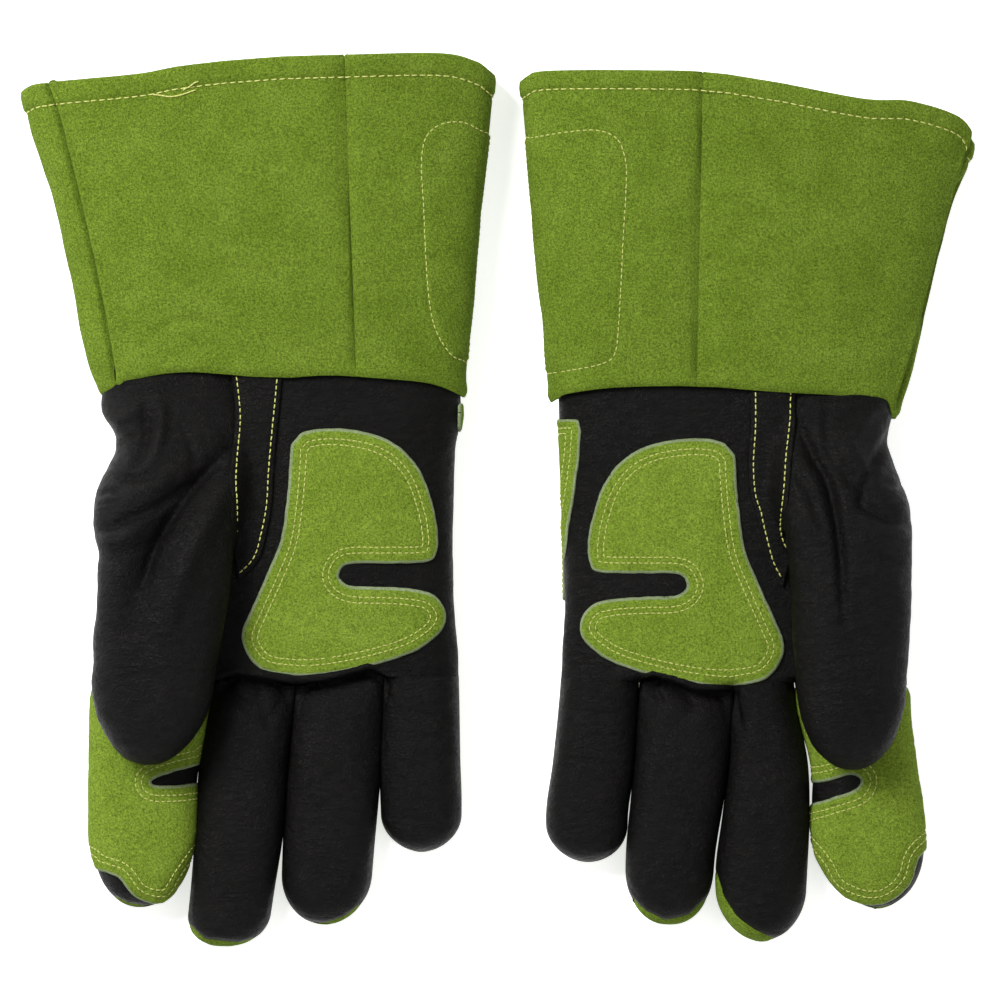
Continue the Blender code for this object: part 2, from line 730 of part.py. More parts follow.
def add_index(glove, stall, hand_parent, tip_parent, start):
    """The index finger: a base under the thumb, a tip that folds at the patch's notch, and the patch."""
    base_rows = stall.rows(0.0, start - FOLD_GAP, 4)
    tube_ring(f"{glove.name}_index_base", stall, base_rows, INDEX_BASE_CELLS, 0.0, LEATHER, BLACK_GRAIN,
              hand_parent, glove)
    add_finger(glove, "index", stall, tip_parent, start, False, "little")

    patch_rows = stall.rows(INDEX_PATCH_START, start - FOLD_GAP, 4)
    spans = [(k.on_top(PATCH_SIDE * k.half), k.thumb_edge) for k in map(stall.section, patch_rows)]
    outside = PATCH_GAP + PATCH
    tube_panel(f"{glove.name}_index_patch_base", stall, patch_rows, spans, 8, PATCH_SUEDE, hand_parent, glove,
               outside=outside, thick=PATCH)

    beyond_notch = stall.rows(start + 2 * NOTCH, stall.length - INDEX_PATCH_SHORT, 4)
    tip_rows = [start, start + NOTCH] + beyond_notch
    seams = []
    for s in tip_rows:
        ring = stall.section(s)
        seams.append((ring.on_top(PATCH_SIDE * ring.half), ring.on_top(NOTCH_END * ring.half), ring.thumb_edge))
    tube_panel(f"{glove.name}_index_patch", stall, tip_rows, seams, NOTCH_CELLS, PATCH_SUEDE, tip_parent, glove,
               outside=outside, thick=PATCH, absent={(0, j) for j in range(NOTCH_CELLS[0])})


def add_thumb(glove, stall, parent):
    """The thumb stall: a front that turns down over the tip, and a back that lies on the index finger."""
    rows = stall.rows(THUMB_START, stall.length, STALL_ROWS)
    spans = [(0.0, stall.section(s).thumb_edge) for s in rows]
    capped_panel(f"{glove.name}_thumb_front", stall, rows, spans, THUMB_CELLS, BLACK_GRAIN, parent, glove,
                 False)
    rows = stall.rows(THUMB_START, stall.length - LEATHER - SEAM_GAP, STALL_ROWS)
    spans = [(stall.section(s).thumb_edge, 1.0) for s in rows]
    tube_panel(f"{glove.name}_thumb_back", stall, rows, spans, THUMB_CELLS, BLACK_GRAIN, parent, glove)


def fold_line(glove, name, stall, s, parent, proud=0.0):
    """The empty on a digit's fold: across the digit, on its palm side face or this far above it."""
    centre, towards, _, top, _ = stall.frame(s)
    axis = (-towards[0], -glove.side * towards[1])
    return empty(f"{glove.name}_{name}_fold", world(glove, *centre, top + proud), axis, parent)


def add_glove(glove, parent):
    """One whole glove: its cuff, and the hand and digits on their fold lines."""
    cuff = add_cuff(glove, parent)
    wrist_place = world(glove, cuff.sides(0.0)[0], max(glove.wrist), CUFF_TOPS[0])
    wrist = empty(f"{glove.name}_wrist_fold", wrist_place, (-1.0, 0.0), parent)
    add_hand(glove, wrist)
    stalls = {name: Stall(digit) for name, digit in glove.digits.items()}

    index = stalls["index"]
    start = glove.digits["index"].stations[0][1] - INDEX_FOLD
    patch_fold = fold_line(glove, "index", index, start, wrist, PATCH_GAP + PATCH)
    add_index(glove, index, wrist, patch_fold, start)
    for name, gussets in (("middle", True), ("ring", True), ("little", False)):
        fold = fold_line(glove, name, stalls[name], 0.0, wrist)
        add_finger(glove, name, stalls[name], fold, 0.0, gussets, "thumb")
    add_thumb(glove, stalls["thumb"], fold_line(glove, "thumb", stalls["thumb"], 0.0, wrist))


def main():
    """Clears the scene and adds both gloves, the left one from its own place beside the right one."""
    for obj in list(bpy.data.objects):
        bpy.data.objects.remove(obj)
    add_glove(RIGHT, None)
    add_glove(LEFT, empty("left_glove_place", world(LEFT, 0.0, 0.0, 0.0), (1.0, 0.0)))


main()
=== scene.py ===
"""The looks of a pair of gauntlet welding gloves, lying palm up on a pale floor.

Each glove is laid out in millimetres in its own plan: "across" runs from the glove's middle towards the
little finger, "along" runs from the fingertips to the cuff, and "up" is the height above the floor. The
left and the right glove are mirror images across, and each has its own outline.

The cuff, the hand, each finger, and the thumb with its base are skins: rows of points round a flattened
tube. A skin is cut along its seams into the leather panels. Creases and seams are pressed into each panel,
which gets its thickness last. A patch is a copy of a skin set further out: the channels of its stitches are
pressed in, and then it is cut to its outline. The linings and the cuff's inner patch are copies further in.
"""

import json
import math
import bpy
import numpy as np
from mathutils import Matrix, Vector
from mathutils.bvhtree import BVHTree


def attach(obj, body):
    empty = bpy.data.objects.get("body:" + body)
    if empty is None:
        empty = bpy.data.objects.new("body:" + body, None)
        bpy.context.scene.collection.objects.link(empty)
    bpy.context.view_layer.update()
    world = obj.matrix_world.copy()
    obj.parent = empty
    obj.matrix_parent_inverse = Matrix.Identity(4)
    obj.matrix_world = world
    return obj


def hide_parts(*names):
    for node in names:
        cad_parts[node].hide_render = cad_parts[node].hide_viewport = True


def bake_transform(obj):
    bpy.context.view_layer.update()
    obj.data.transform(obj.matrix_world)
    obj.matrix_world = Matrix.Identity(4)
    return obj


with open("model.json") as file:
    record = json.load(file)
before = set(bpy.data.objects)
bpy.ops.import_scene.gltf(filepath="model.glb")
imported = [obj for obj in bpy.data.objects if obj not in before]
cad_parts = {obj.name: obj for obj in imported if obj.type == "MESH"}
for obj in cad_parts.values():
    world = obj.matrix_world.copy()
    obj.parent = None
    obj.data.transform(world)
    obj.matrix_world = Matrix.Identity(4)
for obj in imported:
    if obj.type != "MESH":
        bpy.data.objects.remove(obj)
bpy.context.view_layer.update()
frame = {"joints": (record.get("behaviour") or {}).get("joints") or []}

MM = 0.001
JOINTS = {joint["name"]: joint for joint in frame["joints"]}

# Thicknesses, in millimetres.
LEATHER = 1.9
SUEDE = 1.5
LINING = 1.0
HEM_THICK = 1.6  # more leather, where the cuff's edge is folded in

# A tube's section: how square it is above and below its widest level, and that level's share of its height.
TOP_POWER = 2.6
BASE_POWER = 4.0
MID_SHARE = 0.42

# How finely the skins are divided: the distance between rows, and the points round one row.
ROW_STEP = 1.1
HAND_AROUND = 250
THUMB_AROUND = 120
FINGER_AROUND = 92
CUFF_AROUND, CUFF_ROWS = 300, 116

# Where each fold lies, from the body nearer the cuff to the next one, along the glove.
WRIST_BEND = ("cuff", "hand", 52.0, 30.0)
THUMB_BEND = ("hand", "thumb", -13.0, -34.0)
FINGER_FOLD = (-72.0, -90.0)
INDEX_FOLD = (-98.0, -116.0)

# Each patch: how far out it lies on its skin, and how far its two rows of stitches are from its edge.
PALM_SEWN = (1.5, (3.1, 5.4))
HEEL_SEWN = (1.0, (2.6, 4.8))
INDEX_SEWN = (1.4, (2.8, 5.2))
# How far in from their skins the pieces inside the gloves lie.
HAND_LINING_IN, CUFF_LINING_IN, SIDE_PATCH_IN = 3.6, 4.2, 2.3
SIDE_PATCH = 1.3
STRAP, STRAP_RISE = 2.6, 1.8  # its thickness, and how far it stands on the leather
INDEX_BASE_END, INDEX_PATCH_END = -92.0, -76.0

STRAP_MARGIN = 1.8  # from the strap's edge to its stitches
SEAM_GAP = 0.06  # between two cuff panels and the middle of their seam
SIDE_SEAM = 0.25  # how far below the widest level the palm meets the back, as a share of the height above it
THUMB_SEAM = 0.15  # the same, on the thumb
THUMB_ROOT = 12.0  # along the glove, below 0, where the thumb's stall meets its base
PINCH = 0.3  # how far two fingers press into each other at their roots
UNDER_THUMB = 7.0  # how far the palm sinks under the thumb's base
OUTSIDE = -50.0  # a field's value where nothing is to be kept
DOWN = Vector((0, 0, -1))

FINGERS = ("index", "middle", "ring", "little")
# Each finger's thickness at its base and at its tip, and the shape of the thumb's tip.
FINGER_THICK = dict(index=(22.5, 21.0), middle=(23.5, 22.0), ring=(22.5, 21.0), little=(21.5, 19.0))
THUMB_TIP = dict(tip_run=30, tip_power=0.46)


# ---------------------------------------------------------------- numbers

def curve(points, count):
    """A smooth curve through points (Catmull-Rom), as count points."""
    points = np.asarray(points, float)
    padded = np.vstack([2 * points[0] - points[1], points, 2 * points[-1] - points[-2]])
    place = np.linspace(0, len(points) - 1, count)
    i = np.minimum(place.astype(int), len(points) - 2)
    t = (place - i)[:, None]
    a, b, c, d = (padded[i + k] for k in range(4))
    return 0.5 * (2 * b + (c - a) * t + (2 * a - 5 * b + 4 * c - d) * t**2 + (3 * b - a - 3 * c + d) * t**3)


def value_noise(points, size, seed):
    """Smooth noise from -1 to 1, with features of this size."""
    place = points / size + 517.3
    cell = np.floor(place).astype(np.int64)
    part = place - cell
    ease = part * part * (3 - 2 * part)
    total = np.zeros(len(points))
    for corner in range(8):
        step = np.array([corner & 1, corner >> 1 & 1, corner >> 2 & 1])
        c = cell + step
        code = (c[:, 0] * 73856093) ^ (c[:, 1] * 19349663) ^ (c[:, 2] * 83492791) ^ (seed * 2654435761)
        code = (code ^ (code >> 13)) * 1274126177 & 0xFFFFFFFF
        value = ((code ^ (code >> 16)) & 0xFFFF) / 32767.5 - 1
        weight = np.prod(np.where(step == 1, ease, 1 - ease), axis=1)
        total += value * weight
    return total


def fractal(points, size, seed):
    """Smooth noise in three octaves, the largest features of this size."""
    return sum(value_noise(points, size / 2**k, seed + k) / 2**k for k in range(3))


def to_line(points, line):
    """Distance of plan points from a polyline, the side they are on, and how far along it, 0 to 1."""
    points, line = np.asarray(points, float)[:, :2], np.asarray(line, float)[:, :2]
    best = np.full(len(points), np.inf)
    side, along = np.zeros(len(points)), np.zeros(len(points))
    run = np.concatenate([[0.0], np.cumsum(np.hypot(*np.diff(line, axis=0).T))])
    for k, (a, b) in enumerate(zip(line, line[1:])):
        d = b - a
        t = np.clip(((points - a) @ d) / max(d @ d, 1e-12), 0, 1)
        off = points - a - t[:, None] * d
        far = np.hypot(off[:, 0], off[:, 1])
        near = far < best
        best[near] = far[near]
        side[near] = np.sign(d[0] * off[near, 1] - d[1] * off[near, 0])
        along[near] = (run[k] + t[near] * (run[k + 1] - run[k])) / run[-1]
    return best, side, along


def inside(points, outline):
    """Signed distance of plan points from a closed outline, positive inside."""
    outline = np.asarray(outline, float)
    far = to_line(points, np.vstack([outline, outline[:1]]))[0]
    x, y = points[:, 0], points[:, 1]
    odd = np.zeros(len(points), bool)
    for (ax, ay), (bx, by) in zip(outline, np.roll(outline, -1, axis=0)):
        crosses = (ay > y) != (by > y)
        reach = ax + (y - ay) * (bx - ax) / (by - ay if by != ay else 1e-12)
        odd ^= crosses & (x < reach)
    return np.where(odd, far, -far)


def closed(points, count):
    """A smooth closed outline through points."""
    points = np.asarray(points, float)
    looped = np.vstack([points[-2:], points, points[:2]])
    fine = curve(looped, (len(looped) - 1) * 8 + 1)
    return fine[16:-16][:: max(1, len(fine) // count)]


def rising(line):
    """The points of a plan line, in order along the glove."""
    return line[np.argsort(line[:, 1])]


def bell(distance, width):
    """1 at no distance, falling smoothly to nothing past twice the width."""
    return np.exp(-((distance / width) ** 2))


def ease(value, low, high):
    """0 up to low, 1 from high on, and a smooth step between them."""
    t = np.clip((value - low) / (high - low), 0, 1)
    return t * t * (3 - 2 * t)


# ---------------------------------------------------------------- skins

class Skin:
    """A triangle mesh in plan millimetres, with a unit normal at each point and named values."""

    def __init__(self, points, faces, values=None):
        self.points, self.faces = np.asarray(points, float), np.asarray(faces, np.int64)
        self.values = values or {}
        self.normals = self.smooth_normals()

    def smooth_normals(self):
        a, b, c = (self.points[self.faces[:, k]] for k in range(3))
        flat = np.cross(b - a, c - a)
        normals = np.zeros_like(self.points)
        for k in range(3):
            np.add.at(normals, self.faces[:, k], flat)
        return normals / np.maximum(np.linalg.norm(normals, axis=1), 1e-12)[:, None]

    def press(self, depth):
        """Moves each point inwards by its depth."""
        self.points = self.points - self.normals * depth[:, None]
        self.normals = self.smooth_normals()

    def cut(self, field):
        """Splits the skin where a field changes sign: (where it is positive, where it is negative)."""
        field = np.where(np.abs(field) < 1e-7, 1e-7, field)
        positive = field[self.faces] > 0
        count = positive.sum(axis=1)
        mixed = (count == 1) | (count == 2)
        tris = self.faces[mixed]
        ups = positive[mixed]
        lone_up = count[mixed] == 1
        lone = np.where(lone_up, ups.argmax(axis=1), (~ups).argmax(axis=1))
        rows = np.arange(len(tris))
        i, j, k = (tris[rows, (lone + step) % 3] for step in range(3))
        keys = np.sort(np.vstack([np.stack([i, j], 1), np.stack([i, k], 1)]), axis=1)
        pairs, index = np.unique(keys, axis=0, return_inverse=True)
        index = index.reshape(-1)
        t = field[pairs[:, 0]] / (field[pairs[:, 0]] - field[pairs[:, 1]])
        start = len(self.points)
        p, q = start + index[: len(tris)], start + index[len(tris):]

        def mix(values):
            low, high = values[pairs[:, 0]], values[pairs[:, 1]]
            share = t[:, None] if values.ndim == 2 else t
            return np.concatenate([values, low + (high - low) * share])

        points, normals = mix(self.points), mix(self.normals)
        normals /= np.maximum(np.linalg.norm(normals, axis=1), 1e-12)[:, None]
        values = {name: mix(value) for name, value in self.values.items()}
        tips = np.stack([i, p, q], 1)
        rests = np.vstack([np.stack([p, j, k], 1), np.stack([p, k, q], 1)])
        rest_up = np.concatenate([~lone_up, ~lone_up])
        up = np.vstack([self.faces[count == 3], tips[lone_up], rests[rest_up]])
        down = np.vstack([self.faces[count == 0], tips[~lone_up], rests[~rest_up]])
        return tuple(part(points, normals, values, faces) for faces in (up, down))

    def contour(self, field, level):
        """The lines on the skin where a field has this level, as (points, normals) of each."""
        field = np.where(np.abs(field - level) < 1e-7, 1e-7, field - level)
        links, spots = {}, {}
        signs = field[self.faces] > 0
        for tri in self.faces[(signs.any(axis=1)) & (~signs.all(axis=1))]:
            ends = []
            for a, b in ((tri[0], tri[1]), (tri[1], tri[2]), (tri[2], tri[0])):
                if (field[a] > 0) != (field[b] > 0):
                    key = (min(a, b), max(a, b))
                    t = field[key[0]] / (field[key[0]] - field[key[1]])
                    spots[key] = np.concatenate([
                        self.points[key[0]] * (1 - t) + self.points[key[1]] * t,
                        self.normals[key[0]] * (1 - t) + self.normals[key[1]] * t])
                    ends.append(key)
            links.setdefault(ends[0], []).append(ends[1])
            links.setdefault(ends[1], []).append(ends[0])
        lines, done = [], set()
        starts = sorted(links, key=lambda key: (len(links[key]) != 1, key))
        for start in starts:
            if start in done:
                continue
            chain, here = [start], start
            done.add(start)
            while True:
                onward = [key for key in links[here] if key not in done]
                if not onward:
                    break
                here = onward[0]
                done.add(here)
                chain.append(here)
            if len(chain) > 2 and start in links[chain[-1]]:
                chain.append(start)
            lines.append(np.array([spots[key] for key in chain]))
        return lines


def part(points, normals, values, faces):
    """A Skin with only the points that these faces use, and with its normals kept."""
    used, index = np.unique(faces, return_inverse=True)
    made = Skin.__new__(Skin)
    made.points, made.normals = points[used], normals[used]
    made.values = {name: value[used] for name, value in values.items()}
    made.faces = index.reshape(-1, 3)
    return made


def grid_skin(points, around=False, values=None):
    """A Skin from rows of points. around joins each row's end to its start."""
    rows, columns = points.shape[:2]
    index = np.arange(rows * columns).reshape(rows, columns)
    after = np.roll(index, -1, axis=1) if around else index[:, 1:]
    here = index if around else index[:, :-1]
    a, b, c, d = here[:-1], here[1:], after[1:], after[:-1]
    faces = np.concatenate([np.stack([a, b, c], -1).reshape(-1, 3), np.stack([a, c, d], -1).reshape(-1, 3)])
    flat = {name: np.asarray(value, float).reshape(-1) for name, value in (values or {}).items()}
    return Skin(points.reshape(-1, 3), faces, flat)


# ---------------------------------------------------------------- the gloves' plans

# Digits are (across, along, half width) from the base to the tip. Their tips round off over tip_run.
RIGHT_PLAN = dict(
    wrist_fold=(3.15, 49.6),
    digits=dict(
        index=dict(
            line=(
                (-47.5, -58, 24.5), (-50, -84, 23), (-52.4, -112, 21.2), (-52.7, -131, 20.9),
                (-54.2, -162.8, 20.2)),
            tip_run=32,
            tip_power=0.45),
        middle=dict(
            line=(
                (-7, -58, 15.5), (-8.6, -78, 17), (-12.4, -104, 17.9), (-14.2, -131, 17.8),
                (-17.2, -157, 16.8), (-20, -178.4, 16.4)),
            tip_run=13,
            tip_power=0.42),
        ring=dict(
            line=(
                (26.6, -58, 18.2), (25.4, -84, 18.6), (23, -115, 18.9), (21.1, -143, 18.3),
                (19.8, -169.8, 17.6)),
            tip_run=20,
            tip_power=0.5),
        little=dict(
            line=(
                (58, -54, 15.2), (57.9, -80, 15.9), (57.8, -104, 16.4), (58.4, -120, 16.3),
                (58.6, -140.8, 15.8)),
            tip_run=15,
            tip_power=0.56)),
    thumb=(
        (-38.4, 58, 29.6), (-39.4, 44, 30.2), (-38.6, 36, 30.8), (-36.6, 27, 28), (-36.6, 20, 27.4),
        (-38.8, 12, 29), (-41, 3, 30.2), (-42.6, -4, 29.4), (-43.6, -12, 28.6), (-42.9, -20, 27),
        (-43.4, -28, 26.8), (-44, -36, 26.3), (-45.1, -46, 26), (-46.4, -56, 25.6), (-48, -72, 24.7),
        (-49.2, -88, 23.2), (-50, -105, 21.2)),
    rails=(
        (-74, -66, 73), (-50, -67.5, 71.8), (-20, -67.5, 71), (0, -67.5, 71.4), (20, -61, 72.2),
        (34, -61, 74.6), (44, -62, 74.2), (60, -63, 73.6)),
    knuckles=(
        (-80, -73), (-24, -73.2), (-15.6, -70.6), (-4, -72.6), (8, -74.4), (19.6, -73.4), (31.2, -70.8),
        (38.6, -68.6), (44, -70.4), (80, -70.4)),
    wrist=(
        (-74, 39.5), (-67.2, 43), (-55.2, 49), (-38, 51.2), (-18, 50.6), (4, 48.8), (22, 50.2), (42, 49),
        (62, 47), (76, 41.5), (82, 40)),
    strap=(
        ((-15.2, 50.6), (-14, 40.4), (-13.6, 31.2), (-14.8, 17.2), (-15.2, 7.6), (-14.8, -1.6), (-15, -14)),
        (
            (1.2, 50), (0, 37.2), (-1.2, 25.2), (-2.4, 11.2), (-3.2, -1.6), (-5.2, -12.4), (-8.4, -22.8),
            (-15.6, -30.4))),
    crease=(-24, 39),
    thumb_tops=(
        (-106, 46.4, 24.6), (-90, 47.2, 25.4), (-60, 48.6, 26.6), (-30, 48.6, 26.6), (-14, 46.4, 23),
        (0, 42.5, 15), (14, 38, 9), (30, 32.6, 6), (44, 28.6, 5), (60, 28, 5)),
    thumb_strokes=(
        (((-17, 21), (-29.6, 9), (-40, -4), (-47.5, -18), (-53, -34), (-57, -50)), 5, 6),
        (((-17, 21), (-29.6, 9), (-40, -4), (-47.5, -18), (-53, -34)), 3.4, 1.9),
        (((-13, 14), (-22, 0), (-30, -16), (-37, -32), (-42, -50)), -2.6, 4.5),
        (((-73, -13), (-62, -9), (-47, -2), (-36, 6), (-27, 13)), 2.8, 1.8),
        (((-70, -18), (-60, -15), (-52, -11)), -1.2, 2.4),
        (((-74, -4), (-62, 0), (-48, 6), (-38, 13)), -1.3, 3),
        (((-68, 13), (-60, 9), (-50, 10), (-43, 14)), 1.8, 1.7),
        (((-46, 41), (-44.6, 33), (-45.6, 24), (-48, 17)), -1.8, 2.2),
        (((-52, 40), (-51, 30), (-52, 20), (-56, 12)), 2, 2),
        (((-69, 34), (-62, 32), (-55, 36), (-50, 41)), -1.4, 2.2),
        (((-66, 26), (-60, 24), (-54, 27)), 1.2, 1.4),
        (((-70, 2), (-66, 4), (-60, 3)), 1, 1),
        (((-71, -2), (-65, -1), (-58, 1)), 0.8, 0.9),
        (((-72, -24), (-60, -22), (-50, -17)), 0.8, 1.4),
        (((-36, 30), (-32, 18), (-30, 10)), 0.9, 1.6)),
    palm_strokes=(
        (((-8, -70), (-4, -84), (-2, -92)), 1, 2.4),
        (((28, -71), (36, -69.4), (43, -71.6), (44.4, -78)), 2.4, 1.4),
        (((-21, -75), (-15, -79), (-9, -84)), 1.4, 2),
        (((6, -76), (1, -84), (-6, -90)), 0.8, 2.2),
        (((50, -84), (60, -86), (72, -84)), 0.5, 2),
        (((46, -92), (58, -95), (70, -94)), 0.4, 1.6)),
    tip_edges=dict(
        index=((-80, -150), (-72, -152), (-66, -158), (-58, -162), (-48, -163), (-38, -161.5), (-28, -154)),
        middle=((-40, -167), (-34.8, -169.6), (-28, -175.6), (-14, -176.8), (-5.2, -174.6), (4, -169)),
        ring=(
            (0, -161), (3.2, -163.4), (10, -169.6), (20, -169.6), (28, -166.6), (34.8, -161.6),
            (40, -156)),
        little=((40, -131), (46, -136.4), (52, -140.6), (60, -141.6), (68, -141), (76, -136))),
    patch_shift=(0, 0),
    heel=((38, 73.6), (29, 73.4), (26, 74.6), (-39, 74.6)),
    heel_under=14,
    heel_lift=-0.75,
    notch=(
        (-26, -102), (-31.2, -104.8), (-38.8, -106.8), (-47.2, -109.6), (-50.4, -112.2), (-48, -114.8),
        (-38.8, -114.8), (-31.6, -114), (-26, -114)),
    patch_tip=(
        (-80, -142), (-73.4, -143.8), (-71.6, -146.2), (-66, -148), (-61.2, -150.2), (-56.4, -156.6),
        (-51, -159.6), (-44.8, -160.2), (-40.5, -158), (-35.5, -150), (-30, -142), (-24, -134)),
    cuff=dict(
        thumb_rail=(
            (40.8, -68.8), (52, -74), (68, -78), (84, -80.8), (100, -84), (116, -87.2), (132, -92),
            (148, -97.2), (166, -101.6)),
        little_rail=((40, 76.4), (60, 77.6), (84, 80), (108, 81.6), (132, 84), (151, 86), (174, 88.2)),
        mouth=(
            (-104, 162), (-100, 165.2), (-90.8, 167.2), (-54.8, 170.4), (-36.4, 173.6), (-5.2, 176.8),
            (28, 178), (66, 178.8), (80, 176.2), (86.5, 172.6), (92, 168)),
        bottom=(
            (-74, 37.5), (-68.8, 40.8), (-62.8, 43.6), (-50.4, 48.8), (-33.2, 51.2), (-17.2, 50.4),
            (2.8, 48.8), (22.8, 50), (42.4, 48.8), (62.4, 46.8), (75.6, 42), (80, 39.5)),
        centre_seam=((28, 178), (30, 120.4), (32, 67.2), (32.6, 48.8)),
        thumb_seam=(
            (-91.6, 168), (-88, 158.8), (-84.8, 146.8), (-79.6, 125.6), (-72.8, 96.4), (-66.8, 64.8),
            (-62.8, 42)),
        side_patch=(
            (96, 148), (85.2, 146.8), (75.6, 150.8), (66.4, 150), (60.4, 144.4), (58.8, 133.6),
            (59.6, 117.6), (61.2, 86), (63.8, 70), (69.2, 60), (75.6, 56), (96, 53)),
        overlap=(((-48, 161.8), (-40, 161), (-31, 163.6)), ((-36, 163.6), (-31.2, 166.6), (-29.8, 166))),
        dents=(
            (((-52, 62), (-42, 70), (-30, 71), (-18, 66)), 0.9, 2.2),
            (((-40, 60), (-28, 62), (-12, 60)), 0.6, 2),
            (((-60, 100), (-56, 84), (-58, 66)), 0.5, 4)),
        hem=8.5))

